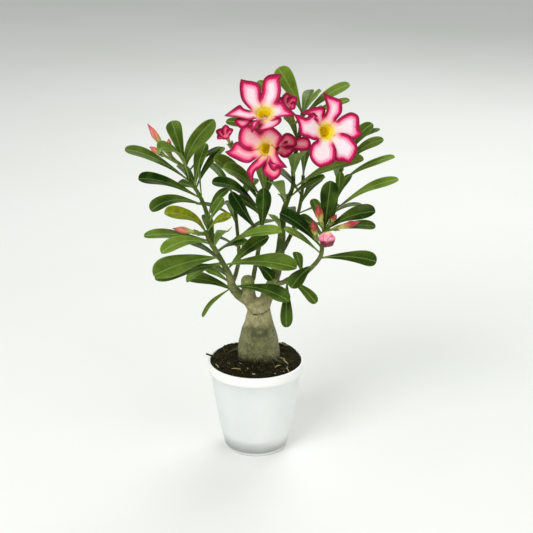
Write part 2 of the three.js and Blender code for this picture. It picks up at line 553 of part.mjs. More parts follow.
const BLOOMS = {
  bloom_1: {
    branch: "mid",
    calyx: [9, -9, 335],
    throat: [9, -32, 361],
    axis: [0, -0.57, 0.82],
    size: "large",
    mouth: 7,
    reach: 30,
    rise: 9,
    petals: [
      {
        clockwise: [[-2, 10.5], [-2.6, 15], [-3, 20], [-3.8, 24.5], [-7, 27.5], [-12, 28.5],
          [-17, 28], [-22, 27.5]],
        counter: [[-12.5, -0.5], [-17, 3], [-21.5, 8.5], [-23, 16], [-23, 22.5], [-22, 27.5]],
        rise: 9,
      },
      {
        clockwise: [[6.5, 6], [11, 9], [14, 12.5], [15.5, 17.5], [15.5, 23.5], [14.5, 29], [15.5, 31],
          [17, 33]],
        counter: [[-2.5, 9.5], [-4, 15], [-2.5, 20], [-2, 25], [-0.5, 29.5], [3.5, 32.5], [9, 33.5],
          [17, 33]],
        rise: 9,
      },
      {
        clockwise: [[-11.5, 2], [-19, 1.5], [-22.5, 4.5], [-26.5, 1.5], [-32, -4.5], [-37, -11.5]],
        counter: [[-6, -9.5], [-13, -14.5], [-19.5, -14.5], [-26, -13.5], [-31.5, -13], [-37, -11.5]],
      },
      {
        clockwise: [[-8.5, -10.5], [-12.5, -15], [-12.5, -24.5], [-11.5, -32]],
        counter: [[-2, -8.5], [-5.5, -20.5], [-8.5, -28], [-11.5, -32]],
      },
      {
        clockwise: [[3.5, -6.5], [7, -10.5], [12.5, -9.5], [18, -9.5], [23.5, -10.5], [29.5, -9.5]],
        counter: [[6, 6], [10, 8.5], [14.5, 9.5], [18.5, 7], [22, 0], [29.5, -9.5]],
      },
      {
        clockwise: [[-2, -4.5], [-6, -18.5], [-7.5, -26.5]],
        counter: [[5.5, -3.5], [15.5, -9], [15.5, -15.5], [11, -21], [0.5, -25], [-7.5, -26.5]],
        back: 3,
      },
      {
        clockwise: [[-15, -8], [-24.5, -9], [-28, -12.5], [-26, -18.5], [-22.5, -23.5]],
        counter: [[-9.5, -7.5], [-12.5, -16.5], [-17, -22.5], [-22.5, -23.5]],
        back: 3,
      },
    ],
  },
  bloom_2: {
    branch: "mid",
    calyx: [12, -7, 309],
    throat: [10.5, -34, 328],
    axis: [-0.45, -0.84, 0.3],
    size: "large",
    mouth: 7,
    reach: 30,
    rise: 9,
    petals: [
      {
        clockwise: [[5, 2.5], [10.5, 1.5], [14.5, 4], [17, 9], [18, 14]],
        counter: [[-4, 6], [-6, 12], [-5, 16], [0, 19.5], [6.5, 20.5], [12.5, 18], [18, 14]],
      },
      {
        clockwise: [[-4, 6], [-6.5, 13], [-10, 16.5], [-16, 19], [-21, 19], [-25, 16]],
        counter: [[-8.5, -2], [-14, -4], [-20.5, -3], [-25.5, 2], [-26.5, 9.5], [-25, 16]],
      },
      {
        clockwise: [[-8.5, -1], [-17.5, -1.5], [-26.5, 2.5], [-30, 0.5], [-33, -5.5], [-38.5, -9]],
        counter: [[-4, -9], [-7.5, -12.5], [-11.5, -16], [-18, -16.5], [-25.5, -14.5], [-33, -12],
          [-38.5, -9]],
      },
      {
        clockwise: [[-5.5, -9.5], [-10.5, -16], [-13, -21], [-13.5, -24.5], [-10, -28.5], [-7, -32.5],
          [-4.5, -35]],
        counter: [[4.5, -9], [3.5, -16], [0, -20], [-3.5, -22.5], [-4.5, -26.5], [-4, -31.5], [-4.5, -35]],
      },
      {
        clockwise: [[1, -8.5], [6.5, -14.5], [12, -19.5], [15.5, -20], [18, -16.5], [22.5, -16.5],
          [29.5, -15.5]],
        counter: [[5, 3.5], [10.5, 1], [15, -3], [21, -8.5], [26.5, -12.5], [29.5, -15.5]],
      },
      {
        clockwise: [[0.5, -11.5], [0.5, -19], [2.5, -23.5], [9.5, -27.5], [15, -29]],
        counter: [[10.5, -12], [19.5, -15], [22.5, -18], [22.5, -23], [19, -27], [15, -29]],
        back: 3,
      },
    ],
  },
  bloom_3: {
    branch: "centre",
    calyx: [54, -2, 331],
    throat: [67, -30, 343],
    axis: [0.4, -0.85, 0.34],
    size: "large",
    mouth: 7,
    reach: 30,
    rise: 9,
    petals: [
      {
        clockwise: [[8.5, 6], [12, 10.5], [16, 15], [17, 22], [16.5, 27], [12, 29.5], [5, 32.5],
          [-1.5, 36]],
        counter: [[-5.5, 6.5], [-3, 13.5], [0.5, 20.5], [-1, 26], [-1.5, 30.5], [-1.5, 36]],
      },
      {
        clockwise: [[6.5, -7], [13, -9], [20, -11], [25, -11.5], [29, -9.5], [32, -8], [33, -5.5]],
        counter: [[7.5, 7], [16, 12.5], [24.5, 14.5], [31.5, 10], [31.5, 2.5], [31, -2.5], [33, -5.5]],
      },
      {
        clockwise: [[-0.5, -7], [-0.5, -15], [0, -23], [2, -28], [5.5, -30.5], [8.5, -29.5],
          [11.5, -31.5], [15, -33]],
        counter: [[7, -5], [12.5, -3], [19, -6], [23.5, -12.5], [26, -18.5], [23.5, -25], [18, -31],
          [15, -33]],
      },
      {
        clockwise: [[-9.5, -6.5], [-18.5, -9.5], [-23, -15], [-24.5, -21.5], [-22.5, -27.5],
          [-19, -31.5], [-16, -33.5]],
        counter: [[2.5, -7.5], [4, -12.5], [4.5, -18], [2.5, -24.5], [0, -29], [-6.5, -32], [-16, -33.5]],
      },
      {
        clockwise: [[-5, 7.5], [-7, 13], [-13, 18.5], [-21.5, 14.5], [-28, 17], [-35.5, 19]],
        counter: [[-8, -6.5], [-17, -7.5], [-24.5, -4.5], [-31, -2], [-32, 2.5], [-32, 8],
          [-33.5, 14], [-35.5, 19]],
      },
      {
        clockwise: [[-1, 12.5], [0.5, 21.5], [-7.5, 23.5], [-16.5, 22.5], [-23, 20.5], [-27.5, 19]],
        counter: [[-7.5, 7.5], [-16, 14.5], [-24.5, 18], [-27.5, 19]],
        back: 2,
      },
    ],
  },
  bloom_4: {
    branch: "centre",
    calyx: [36, -3, 345],
    throat: [31.5, -9, 363],
    axis: [-0.1, -0.75, 0.65],
    size: "opening",
    mouth: 3.4,
    reach: 7,
    rise: 7,
    petals: ringOf(7, 10, 3.4),
  },
  bloom_5: {
    branch: "mid",
    calyx: [21, 8, 312],
    throat: [21, -11, 322],
    axis: [0.1, -0.95, 0.3],
    size: "small",
    mouth: 4.5,
    reach: 16,
    rise: 5,
    petals: [
      {
        clockwise: [[3.5, -1.5], [11, -0.5], [15.5, -0.5], [19, 2]],
        counter: [[1.5, 4.5], [4.5, 11], [9, 14], [15, 12], [18.5, 7.5], [19, 2]],
      },
      {
        clockwise: [[0.5, -3], [3, -8], [7.5, -10], [13.5, -6.5], [17, -2]],
        counter: [[4.5, 1.5], [10, 1], [14.5, 0.5], [17, -2]],
      },
      {
        clockwise: [[7.5, -2.5], [17.5, -3], [25.5, -3.5], [31, -2.5], [33.5, 2.5]],
        counter: [[7.5, 6], [17, 8.5], [25.5, 10], [31.5, 8], [33.5, 2.5]],
        back: 3,
      },
      {
        clockwise: [[-1, 4], [-3, 7], [-6, 9]],
        counter: [[-5, 0.5], [-7, 4], [-6, 9]],
      },
      {
        clockwise: [[-4.5, -1], [-5, -3.5], [-2.5, -6.5]],
        counter: [[-1, -3.5], [-0.5, -5], [-2.5, -6.5]],
      },
    ],
  },
  bloom_6: {
    branch: "mid",
    calyx: [-22, 6, 318],
    throat: [-28, 0, 331],
    axis: [-0.3, -0.6, 0.75],
    size: "opening",
    mouth: 3,
    reach: 7,
    rise: 6,
    petals: ringOf(6.5, 7.5, 3),
  },
}

const FRONT_LIFT = 1.3; // of a petal's counter-clockwise margin over its neighbour
const ROOTED_WITHIN = 5; // millimetres from the mouth: petals that start so near it are rooted inside it
const ROOT_INSET = 0.65;
const ROOT_DEPTH = 1.4;
const PETAL_GRID = {
  large: { stations: [0, 0.3, 0.65, 0.96], columns: [-1, 0, 1], sides: 10, steps: 5 },
  small: { stations: [0, 0.45, 0.96], columns: [-1, 1], sides: 7, steps: 2 },
  opening: { stations: [0, 0.96], columns: [-1, 1], sides: 6, steps: 2 },
};

// Right and up as seen from the front of a bloom.
function bloomFrame(axis) {
  const front = vector(axis).normalize();
  const up = UP.clone().addScaledVector(front, -UP.dot(front)).normalize();
  return { front, up, right: new THREE.Vector3().crossVectors(up, front) };
}

function petal(bloom, { clockwise, counter, rise = 0, back = 0 }, grid) {
  const { front, up, right } = bloomFrame(bloom.axis);
  const margins = [clockwise, counter].map((line) => {
    return new THREE.CatmullRomCurve3(line.map(([x, y]) => new THREE.Vector3(x, y, 0)));
  });
  const place = (x, y, level) => {
    const point = vector(bloom.throat).addScaledVector(right, x).addScaledVector(up, y);
    return point.addScaledVector(front, level);
  };
  const across = (t, s) => margins[0].getPointAt(t).lerp(margins[1].getPointAt(t), (s + 1) / 2);
  const scale = bloom.reach / 30;
  const rows = grid.stations.map((t) => grid.columns.map((s) => {
    const flat = across(t, s);
    const climb = Math.max(0, (flat.length() - bloom.mouth) / bloom.reach);
    const bowl = bloom.rise * climb * (2 - climb) + rise * climb ** 2;
    const sunk = back * Math.min(1, 0.1 + 2.5 * t);
    const lift = FRONT_LIFT * scale * s * (1 - t ** 3) - 1.1 * scale * (1 - s * s) * Math.sin(Math.PI * t);
    return place(flat.x, flat.y, bowl - sunk + lift);
  }));
  if (across(0, -1).length() < bloom.mouth + ROOTED_WITHIN) {
    rows.unshift(grid.columns.map((s) => {
      const root = across(0, s).setLength(bloom.mouth - ROOT_INSET);
      return place(root.x, root.y, -ROOT_DEPTH);
    }));
  }
  return blade(rows.map((row) => {
    const face = (side) => row.map((point) => point.clone().addScaledVector(front, side * PETAL_THICKNESS));
    return { upper: face(0.5).reverse(), lower: face(-0.5).reverse() };
  }));
}

// The tube's radius from calyx to throat, for a throat of radius 1.
const trumpet = (u) => lerp(0.3, 1, u ** 1.7);

// The bent line of a bloom's tube, and the direction in which it leaves its calyx.
function tubeLine({ calyx, throat, axis }) {
  const end = vector(throat);
  const front = vector(axis).normalize();
  const bend = end.clone().addScaledVector(front, -end.distanceTo(vector(calyx)) / 2);
  const first = bend.clone().sub(vector(calyx)).normalize();
  const base = vector(calyx).addScaledVector(first, CALYX_HEIGHT + SEAT_GAP);
  return { base, bend, end, front, first };
}

// The corolla; pockets closed off between overlapping petals are filled by keeping the outer shell alone.
function bloom(name) {
  const shape = BLOOMS[name];
  const { base, bend, end: throat, front } = tubeLine(shape);
  const radius = shape.mouth;
  const curve = new THREE.QuadraticBezierCurve3(base, bend, throat);
  const grid = PETAL_GRID[shape.size];
  const outside = tube(curve, 0, 1, (u) => radius * trumpet(u), grid.sides, grid.steps);
  const mouth = new THREE.QuadraticBezierCurve3(base, bend, throat.clone().addScaledVector(front, 0.4));
  const inside = tube(mouth, 0.45, 1, (u) => radius * trumpet(u) - 1, grid.sides, grid.steps - 1);
  const petals = shape.petals.map((one) => petal(shape, one, grid));
  const shells = fuse([outside, ...petals]).subtract(inside).decompose();
  const corolla = shells.reduce((best, shell) => (shell.volume() > best.volume() ? shell : best));
  return node(name, corolla, COROLLA);
}

// ---- Buds: slender furled spindles ----
const BUDS = {
  bud_1: { branch: "left_high", base: [-87, 2, 316], tip: [-103, -4, 344], radius: 3.1 },
  bud_2: { branch: "left_high", base: [-88, -8, 314], tip: [-101, -14, 324], radius: 2.6 },
  bud_3: { branch: "left_high", base: [-83, 8, 313], tip: [-84, 6, 327], radius: 2.2 },
  bud_4: { branch: "left", base: [-56, -16, 238], tip: [-80, -24, 245], radius: 3.2 },
  bud_5: { branch: "right_low", base: [65, -17, 245], tip: [60, -20, 268], radius: 3.8 },
  bud_6: { branch: "right_low", base: [60, -19, 232], tip: [55, -24, 253], radius: 3.1 },
  bud_7: { branch: "right_low", base: [73, -14, 246], tip: [79, -20, 258], radius: 2.3 },
  bud_8: { branch: "right_low", base: [77, -20, 243], tip: [101, -30, 254], radius: 3.1 },
  bud_9: { branch: "right_low", base: [70, -21, 238], tip: [69, -42, 236], radius: 7.5 },
};
const spindle = (u) => (0.5 + 0.95 * Math.sin(Math.PI * u ** 1.4)) * (1 - 0.75 * u ** 4) * 0.8;

function bud(name) {
  const { base, tip, radius } = BUDS[name];
  const front = vector(tip).sub(vector(base)).normalize();
  const start = vector(base).addScaledVector(front, CALYX_HEIGHT + SEAT_GAP);
  const curve = new THREE.LineCurve3(start, vector(tip));
  return node(name, tube(curve, 0, 1, (u) => Math.max(0.4, radius * spindle(u)), 7, 5), BUD);
}

// The green stalk of a bloom or bud, with the calyx cup and its five sepals at the end.
function stalk(from, calyx, axis, cupRadius) {
  const base = vector(calyx);
  const front = axis.clone().normalize();
  const handle = from.distanceTo(base) / 2.5;
  const first = from.clone().addScaledVector(front, handle / 3);
  const second = base.clone().addScaledVector(front, -handle);
  const path = new THREE.CubicBezierCurve3(from, first, second, base);
  const stem = tube(path, 0, 1, () => 1.3, 5, 4);
  const foot = base.clone().addScaledVector(front, -1);
  const brim = base.clone().addScaledVector(front, CALYX_HEIGHT);
  const cup = tube(new THREE.LineCurve3(foot, brim), 0, 1, (u) => lerp(1.5, cupRadius, u), 8, 1);
  return fuse([stem, cup]);
}

const plant = new THREE.Group();
plant.name = "potted_desert_rose";
plant.add(pot(), soil(), trunk());
for (const name of Object.keys(BRANCHES)) plant.add(leafyBranch(name));
for (const name of Object.keys(BLOOMS)) plant.add(bloom(name));
for (const name of Object.keys(BUDS)) plant.add(bud(name));

export default plant;
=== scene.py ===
import math
import random

import bpy
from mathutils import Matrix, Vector, noise


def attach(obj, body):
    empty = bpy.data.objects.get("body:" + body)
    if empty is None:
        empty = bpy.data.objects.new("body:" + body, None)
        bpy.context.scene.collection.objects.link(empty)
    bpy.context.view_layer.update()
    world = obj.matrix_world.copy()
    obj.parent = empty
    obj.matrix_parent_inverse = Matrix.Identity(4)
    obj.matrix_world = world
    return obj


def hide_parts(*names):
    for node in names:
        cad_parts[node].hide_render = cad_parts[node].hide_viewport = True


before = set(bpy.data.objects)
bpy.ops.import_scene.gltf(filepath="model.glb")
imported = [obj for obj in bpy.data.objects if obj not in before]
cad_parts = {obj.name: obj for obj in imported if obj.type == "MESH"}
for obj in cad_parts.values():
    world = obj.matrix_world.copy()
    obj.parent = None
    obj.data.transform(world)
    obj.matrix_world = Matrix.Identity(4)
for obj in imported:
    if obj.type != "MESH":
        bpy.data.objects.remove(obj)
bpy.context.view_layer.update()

# ---- Studio ----
# A pale plain table top under soft light from the upper left, with a fill from the right and a light from
# behind that lets the leaves shine. The camera looks down on the pot by 20 degrees through a long lens.
MM = 0.001
scene = bpy.context.scene
scene.view_settings.view_transform = "Standard"

AIM = Vector((11, 0, 197)) * MM
CAMERA_DISTANCE = 1.3
CAMERA_TILT = math.radians(20)
LENS = 87.8
FLOOR_SIZE = 14

lens = bpy.data.cameras.new("camera")
lens.sensor_width = 36
lens.lens = LENS
lens.clip_end = 30
camera = bpy.data.objects.new("camera", lens)
scene.collection.objects.link(camera)
camera.location = AIM + CAMERA_DISTANCE * Vector((0, -math.cos(CAMERA_TILT), math.sin(CAMERA_TILT)))
camera.rotation_euler = (AIM - camera.location).to_track_quat("-Z", "Y").to_euler()
scene.camera = camera


def soft_light(name, place, size, watts):
    """A square lamp that faces the plant."""
    lamp = bpy.data.lights.new(name, "AREA")
    lamp.size = size
    lamp.energy = watts
    holder = bpy.data.objects.new(name, lamp)
    scene.collection.objects.link(holder)
    holder.location = place
    holder.rotation_euler = (AIM - holder.location).to_track_quat("-Z", "Y").to_euler()


soft_light("key_light", (-0.9, -1.3, 1.5), 1.1, 24)
soft_light("fill_light", (1.5, -1.2, 0.9), 1.6, 9)
soft_light("back_light", (0.5, 1.3, 1.5), 1.2, 14)

sky = bpy.data.worlds.new("studio_air")
sky.use_nodes = True
air = sky.node_tree.nodes["Background"]
air.inputs["Color"].default_value = (0.97, 1, 0.98, 1)
air.inputs["Strength"].default_value = 0.5
scene.world = sky


def hue(red, green, blue):
    """A colour as the eye reads it on a screen, turned into the renderer's linear values."""
    bright = [c / 12.92 if c <= 0.04045 else ((c + 0.055) / 1.055) ** 2.4 for c in (red, green, blue)]
    return (*bright, 1.0)


class Wire:
    """A shader socket that reads like a number: sums and products of wires add Math nodes."""

    def __init__(self, tree, socket=None):
        self.tree = tree
        self.socket = socket

    def node(self, kind, settings=None, inputs=None, output=0):
        """Any other node, from its settings, then the values or links of its inputs."""
        made = self.tree.nodes.new(kind)
        for name, value in (settings or {}).items():
            setattr(made, name, value)
        for key, value in (inputs or {}).items():
            if isinstance(value, Wire):
                self.tree.links.new(value.socket, made.inputs[key])
            else:
                made.inputs[key].default_value = value
        return Wire(self.tree, made.outputs[output])

    def parts(self):
        """The three parts of a vector."""
        split = self.node("ShaderNodeSeparateXYZ", inputs={0: self}).socket.node
        return [Wire(self.tree, socket) for socket in split.outputs]

    def math(self, operation, other=0.0):
        return self.node("ShaderNodeMath", {"operation": operation}, {0: self, 1: other})

    def __add__(self, other):
        return self.math("ADD", other)

    def __sub__(self, other):
        return self.math("SUBTRACT", other)

    def __rsub__(self, other):
        return self.node("ShaderNodeMath", {"operation": "SUBTRACT"}, {0: other, 1: self})

    def __mul__(self, other):
        return self.math("MULTIPLY", other)

    def __truediv__(self, other):
        return self.math("DIVIDE", other)

    def __abs__(self):
        return self.math("ABSOLUTE")

    __radd__ = __add__
    __rmul__ = __mul__

    def step(self, low, high):
        """0 below low, 1 above high, and smooth between; low may be the larger."""
        ends = {"Value": self, "From Min": low, "From Max": high}
        return self.node("ShaderNodeMapRange", {"interpolation_type": "SMOOTHSTEP"}, ends)

    def between(self, first, second):
        """The colour first where this is 0 and second where it is 1; each a wire or three values."""
        tones = [tone if isinstance(tone, Wire) else hue(*tone) for tone in (first, second)]
        return self.node("ShaderNodeMix", {"data_type": "RGBA"}, {0: self, 6: tones[0], 7: tones[1]}, 2)


class Finish:
    """A material with one Principled shader; constant values go straight onto its sockets. Its tone is
    the base colour under the coats laid so far."""

    def __init__(self, name, **constants):
        self.material = bpy.data.materials.new(name)
        self.material.use_nodes = True
        tree = self.material.node_tree
        self.shader = tree.nodes["Principled BSDF"]
        for key, value in constants.items():
            self.shader.inputs[key.replace("_", " ")].default_value = value
        self.wire = Wire(tree)
        self.tone = None
        self.place = self.wire.node("ShaderNodeTexCoord", output="Object")

    def feed(self, **wires):
        """Leads wires to the shader's sockets."""
        for key, wire in wires.items():
            self.wire.tree.links.new(wire.socket, self.shader.inputs[key.replace("_", " ")])

    def coat(self, share, tone):
        """Lays a tone over the base colour, as much of it as share says."""
        self.tone = share.between(self.tone, tone)
        self.feed(Base_Color=self.tone)

    def grain(self, scale, detail=3.0, stretch=(1, 1, 1), distortion=0.0):
        """Noise from 0 to 1 at a scale in cells per metre."""
        spot = self.place
        if stretch != (1, 1, 1):
            spot = self.wire.node("ShaderNodeMapping", inputs={"Vector": spot, "Scale": stretch})
        shape = {"Vector": spot, "Scale": scale, "Detail": detail, "Distortion": distortion}
        return self.wire.node("ShaderNodeTexNoise", inputs=shape)

    def bump(self, height, depth):
        """Raises the surface by height, from 0 to 1, times a depth in metres."""
        relief = {"Height": height, "Distance": depth, "Strength": 1.0}
        self.feed(Normal=self.wire.node("ShaderNodeBump", inputs=relief))


table_top = Finish("table_top", Roughness=0.85)
cloud = table_top.grain(1.5).step(0.3, 0.7)
table_top.feed(Base_Color=cloud.between((0.93, 0.94, 0.92), (0.95, 0.95, 0.94)))
bpy.ops.mesh.primitive_plane_add(size=FLOOR_SIZE)
floor = bpy.context.object
floor.name = "floor"
floor.data.materials.append(table_top.material)


# ---- Pot ----
# A tapered nursery pot, injection moulded in white plastic in one piece: a thin wall with a rolled band at
# the lip, a rounded bottom corner and four drainage holes in the floor.
class Skin:
    """Gathers the patches of one piece: points in mm, faces, a finish for each face and painted values."""

    def __init__(self):
        self.points, self.faces, self.finishes = [], [], []
        self.painted = {"spot": [], "look": []}

    def loft(self, rings, finish, spots=None, look=(0, 0, 0), closed=True):
        """The skin through rows of points, each row a closed loop, with a face over each end.
        look is one value for the whole skin, or a row of values for each ring."""
        start = len(self.points)
        count = len(rings[0])
        for row, ring in enumerate(rings):
            self.points.extend(ring)
            self.painted["spot"].extend(spots[row] if spots else [(0, 0, 0)] * count)
            self.painted["look"].extend(look[row] if isinstance(look, list) else [look] * count)
        for row in range(len(rings) - 1):
            low = start + row * count
            for side in range(count):
                other = (side + 1) % count
                self.faces.append((low + side, low + other, low + count + other, low + count + side))
                self.finishes.append(finish)
        if closed:
            last = start + (len(rings) - 1) * count
            self.faces.append(tuple(range(start + count - 1, start - 1, -1)))
            self.faces.append(tuple(range(last, last + count)))
            self.finishes.extend([finish, finish])

    def piece(self, name, *finishes):
        """The mesh of this skin as an object in metres."""
        mesh = bpy.data.meshes.new(name)
        mesh.from_pydata([Vector(p) * MM for p in self.points], [], self.faces)
        for key, values in self.painted.items():
            layer = mesh.attributes.new(key, "FLOAT_VECTOR", "POINT")
            layer.data.foreach_set("vector", [c for value in values for c in value])
        for finish in finishes:
            mesh.materials.append(finish.material)
        mesh.polygons.foreach_set("material_index", self.finishes)
        mesh.polygons.foreach_set("use_smooth", [True] * len(mesh.polygons))
        mesh.update()
        thing = bpy.data.objects.new(name, mesh)
        scene.collection.objects.link(thing)
        return thing


def on_circle(radius, angle, height=0.0):
    """A place on a level circle round the Z axis."""
    return Vector((radius * math.cos(angle), radius * math.sin(angle), height))


def round_about(steps):
    """The angles of equal steps round a circle."""
    return [2 * math.pi * i / steps for i in range(steps)]


def arc(radius, height, bend, first, last, steps=5):
    """Points of a rounded corner in a profile; its centre, its radius and its angles in degrees."""
    angles = [math.radians(first + (last - first) * i / steps) for i in range(steps + 1)]
    return [(radius + bend * math.cos(a), height + bend * math.sin(a)) for a in angles]


def finished(thing, *nodes, slot):
    """Puts a piece on the body, in place of its plain solids."""
    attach(thing, "root")
    if nodes:
        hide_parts(*nodes)


def applied(thing):
    """Turns a piece's modifiers into plain geometry."""
    solid = bpy.data.meshes.new_from_object(thing.evaluated_get(bpy.context.evaluated_depsgraph_get()))
    thing.modifiers.clear()
    thing.data = solid
    return thing


POT_HEIGHT = 96
RIM = 49
WALL = 1.8
LIP_BOTTOM = POT_HEIGHT - 10.5
FOOT = 28
BEND = 2.6
FLOOR_LEVEL = 2.6
LIP_BEND = 1.3
HOLES = 4
HOLE_RADIUS = 3.5
HOLE_RING = 17
POT_SIDES = 160
OUTER_WALL = [(32.6, 4), (36.6, 21), (39.2, 34.5), (41.6, 49), (44.2, 67), (46.3, LIP_BOTTOM - 1)]

moulded = Finish("white_plastic", Roughness=0.4, IOR=1.46, Subsurface_Weight=0.12, Subsurface_Scale=0.004)
flow = moulded.grain(26, 4, (1, 1, 0.25)).step(0.32, 0.72)
haze = moulded.grain(9, 2).step(0.35, 0.65)
height = moulded.place.parts()[2]
shell = (flow * 0.6 + haze * 0.4).between((0.885, 0.9, 0.895), (0.92, 0.925, 0.915))
rim_glow = height.step(0.082, 0.09).between(shell, (0.965, 0.965, 0.95))
splash = moulded.grain(420, 3).step(0.66, 0.75) * height.step(0.088, 0.096) * 0.35
moulded.feed(Base_Color=splash.between(rim_glow, (0.42, 0.36, 0.28)))
moulded.feed(Roughness=moulded.grain(70, 3) * 0.16 + 0.3)
moulded.bump(moulded.grain(900, 2) * 0.3 + moulded.grain(60, 2, (1, 1, 0.2)) * 0.7, 0.00012)

pot_skin = Skin()
profile = [(0, 0), (FOOT, 0)] + arc(FOOT + 1, BEND, BEND, -90, -30) + arc(FOOT + 2.2, 5.4, BEND, -42, -12)
profile += OUTER_WALL + arc(RIM - 1.4, LIP_BOTTOM + 1.2, LIP_BEND, -110, 0)
profile += arc(RIM - LIP_BEND, POT_HEIGHT - LIP_BEND, LIP_BEND, 0, 90)
profile += arc(RIM - 1.5, POT_HEIGHT - 0.7, 0.7, 100, 180)
profile += [(r - WALL, z) for r, z in reversed(OUTER_WALL[1:])]
profile += [(31.2, FLOOR_LEVEL + 3), (29.6, FLOOR_LEVEL + 0.9), (27.2, FLOOR_LEVEL), (0, FLOOR_LEVEL)]
pot_skin.loft([[on_circle(r, a, z) for a in round_about(POT_SIDES)] for r, z in profile], 0, closed=False)
pot = pot_skin.piece("pot_shell", moulded)

drills = Skin()
for turn in round_about(HOLES):
    middle = on_circle(HOLE_RING, turn + math.pi / HOLES)
    bore = [[middle + on_circle(HOLE_RADIUS, a, z) for a in round_about(32)] for z in (-2, 6)]
    drills.loft(bore, 0)
drill = drills.piece("drill", moulded)
cut = pot.modifiers.new("drain_holes", "BOOLEAN")
cut.operation = "DIFFERENCE"
cut.object = drill
applied(pot)
bpy.data.objects.remove(drill)
finished(pot, "pot", slot="white_pot")


# ---- Potting mix ----
# Dark peat and composted bark, filled to the rim and heaped against the trunk. Crumbs, chips, white perlite,
# straw and one twig lie loose on it, some of them on the edge of the pot.
SOIL_EDGE = 95.2
SOIL_TOP = 100
SOIL_RADIUS = 46.7
SOIL_SIDES = 180
SOIL_RINGS = 46
TRUNK_X = 3.5
FLATTENED = 0.94
CRUMBS = 1500
BANKED_CRUMBS = 260
CHIPS = 120
PERLITE_BITS = 14
LOOSE = 0.5
UP = Vector((0, 0, 1))

peat = Finish("potting_mix", Roughness=0.95, Specular_IOR_Level=0.15)
lump = peat.grain(260, 5).step(0.35, 0.68)
fleck = peat.grain(700, 2).step(0.62, 0.74)
dark_peat = lump.between((0.05, 0.042, 0.01), (0.13, 0.11, 0.04))
peat.feed(Base_Color=fleck.between(dark_peat, (0.23, 0.21, 0.08)))
peat.bump(peat.grain(500, 5) * 0.6 + peat.grain(1500, 3) * 0.4, 0.0012)


def soil_height(x, y):
    """The level of the loose surface at a place on it."""
    away = math.hypot(x - TRUNK_X, y)
    heap = max(0.0, min(1.0, (SOIL_RADIUS - away) / (SOIL_RADIUS - 22)))
    rough = noise.fractal(Vector((x, y, 3)) / 7, 0.8, 2.1, 4)
    behind = max(0.0, y - 8) / 38
    mound = 3.2 * math.exp(-((x - 28) ** 2 + (y - 25) ** 2) / 90)
    return SOIL_EDGE + (SOIL_TOP - SOIL_EDGE) * heap + 1.5 * rough + 2.2 * behind + mound


UNDERSIDE = [
    (0, 2.9), (26.9, 2.9), (29.3, 3.8), (30.9, 5.9), (34.4, 21), (39.4, 49), (44.2, LIP_BOTTOM - 1),
]
EDGE_DROP = 1.2

soil_skin = Skin()
turns = round_about(SOIL_SIDES)
rings = [[on_circle(r, a, z) for a in turns] for r, z in UNDERSIDE]
for step in range(SOIL_RINGS):
    radius = SOIL_RADIUS * (1 - step / (SOIL_RINGS - 1))
    drop = EDGE_DROP if step == 0 else 0
    ring = [on_circle(radius, a) for a in turns]
    rings.append([spot + UP * (soil_height(spot.x, spot.y) - drop) for spot in ring])
soil_skin.loft(rings, 0, closed=False)
soil = soil_skin.piece("soil_surface", peat)
finished(soil, "soil", slot="potting_mix")


def painted(finish, name):
    """The three painted values of a finish."""
    return finish.wire.node("ShaderNodeAttribute", {"attribute_name": name}, output="Vector").parts()


chip_bark = Finish("bark_chips", Roughness=0.9, Specular_IOR_Level=0.15)
shade, _, _ = painted(chip_bark, "look")
streak = chip_bark.grain(900, 3, (1, 0.3, 1))
tan = (shade * 0.7 + streak * 0.3).between((0.05, 0.045, 0.015), (0.29, 0.26, 0.1))
chip_bark.feed(Base_Color=tan)
chip_bark.bump(streak, 0.0003)
perlite = Finish("perlite", Roughness=0.9)
perlite.feed(Base_Color=perlite.grain(900).between((0.72, 0.72, 0.64), (0.9, 0.9, 0.85)))
perlite.bump(perlite.grain(1800), 0.0002)
straw = Finish("straw", Roughness=0.6)
straw.feed(Base_Color=straw.grain(500, 2).between((0.5, 0.46, 0.22), (0.8, 0.76, 0.52)))
straw.bump(straw.grain(1400, 2), 0.0001)


def crumb(skin, draw, middle, size, finish, look=0.0):
    """A broken lump with ten corners, flatter than it is wide."""
    turn = draw.uniform(0, 2 * math.pi)
    ring_low, ring_high = [], []
    for a in round_about(5):
        shift = on_circle(size * draw.uniform(0.6, 1.1), turn + a)
        ring_low.append(middle + shift - UP * 0.6 * size * draw.uniform(0.2, 0.7))
        ring_high.append(middle + 0.7 * shift + UP * 0.6 * size * draw.uniform(0.3, 0.9))
    skin.loft([ring_low, ring_high], finish, look=(look, 0, 0))


def on_soil(draw, inner=23.5, outer=SOIL_RADIUS - 1.2):
    """A random place on the loose surface, clear of the trunk."""
    radius = math.sqrt(draw.uniform(inner**2, outer**2))
    a = draw.uniform(0, 2 * math.pi)
    x, y = radius * math.cos(a), radius * math.sin(a)
    return Vector((x, y, soil_height(x, y)))


def sliver(skin, start, end, width, thick, finish, look=0.0, bow=0.0):
    """A thin strip of bark or straw between two places, bowed upwards."""
    along = (end - start).normalized()
    side = along.cross(UP).normalized()
    up = side.cross(along)
    rings = []
    for i in range(7):
        t = i / 6
        taper = 0.55 + 0.45 * math.sin(math.pi * min(1, 0.1 + t))
        middle = start.lerp(end, t) + up * bow * math.sin(math.pi * t)
        half, tall = width / 2 * taper, thick / 2
        corners = ((half, 0), (0, -tall), (-half, 0), (-half * 0.7, tall), (half * 0.7, tall))
        rings.append([middle + side * a + up * b for a, b in corners])
    skin.loft(rings, finish, look=(look, 0, 0))


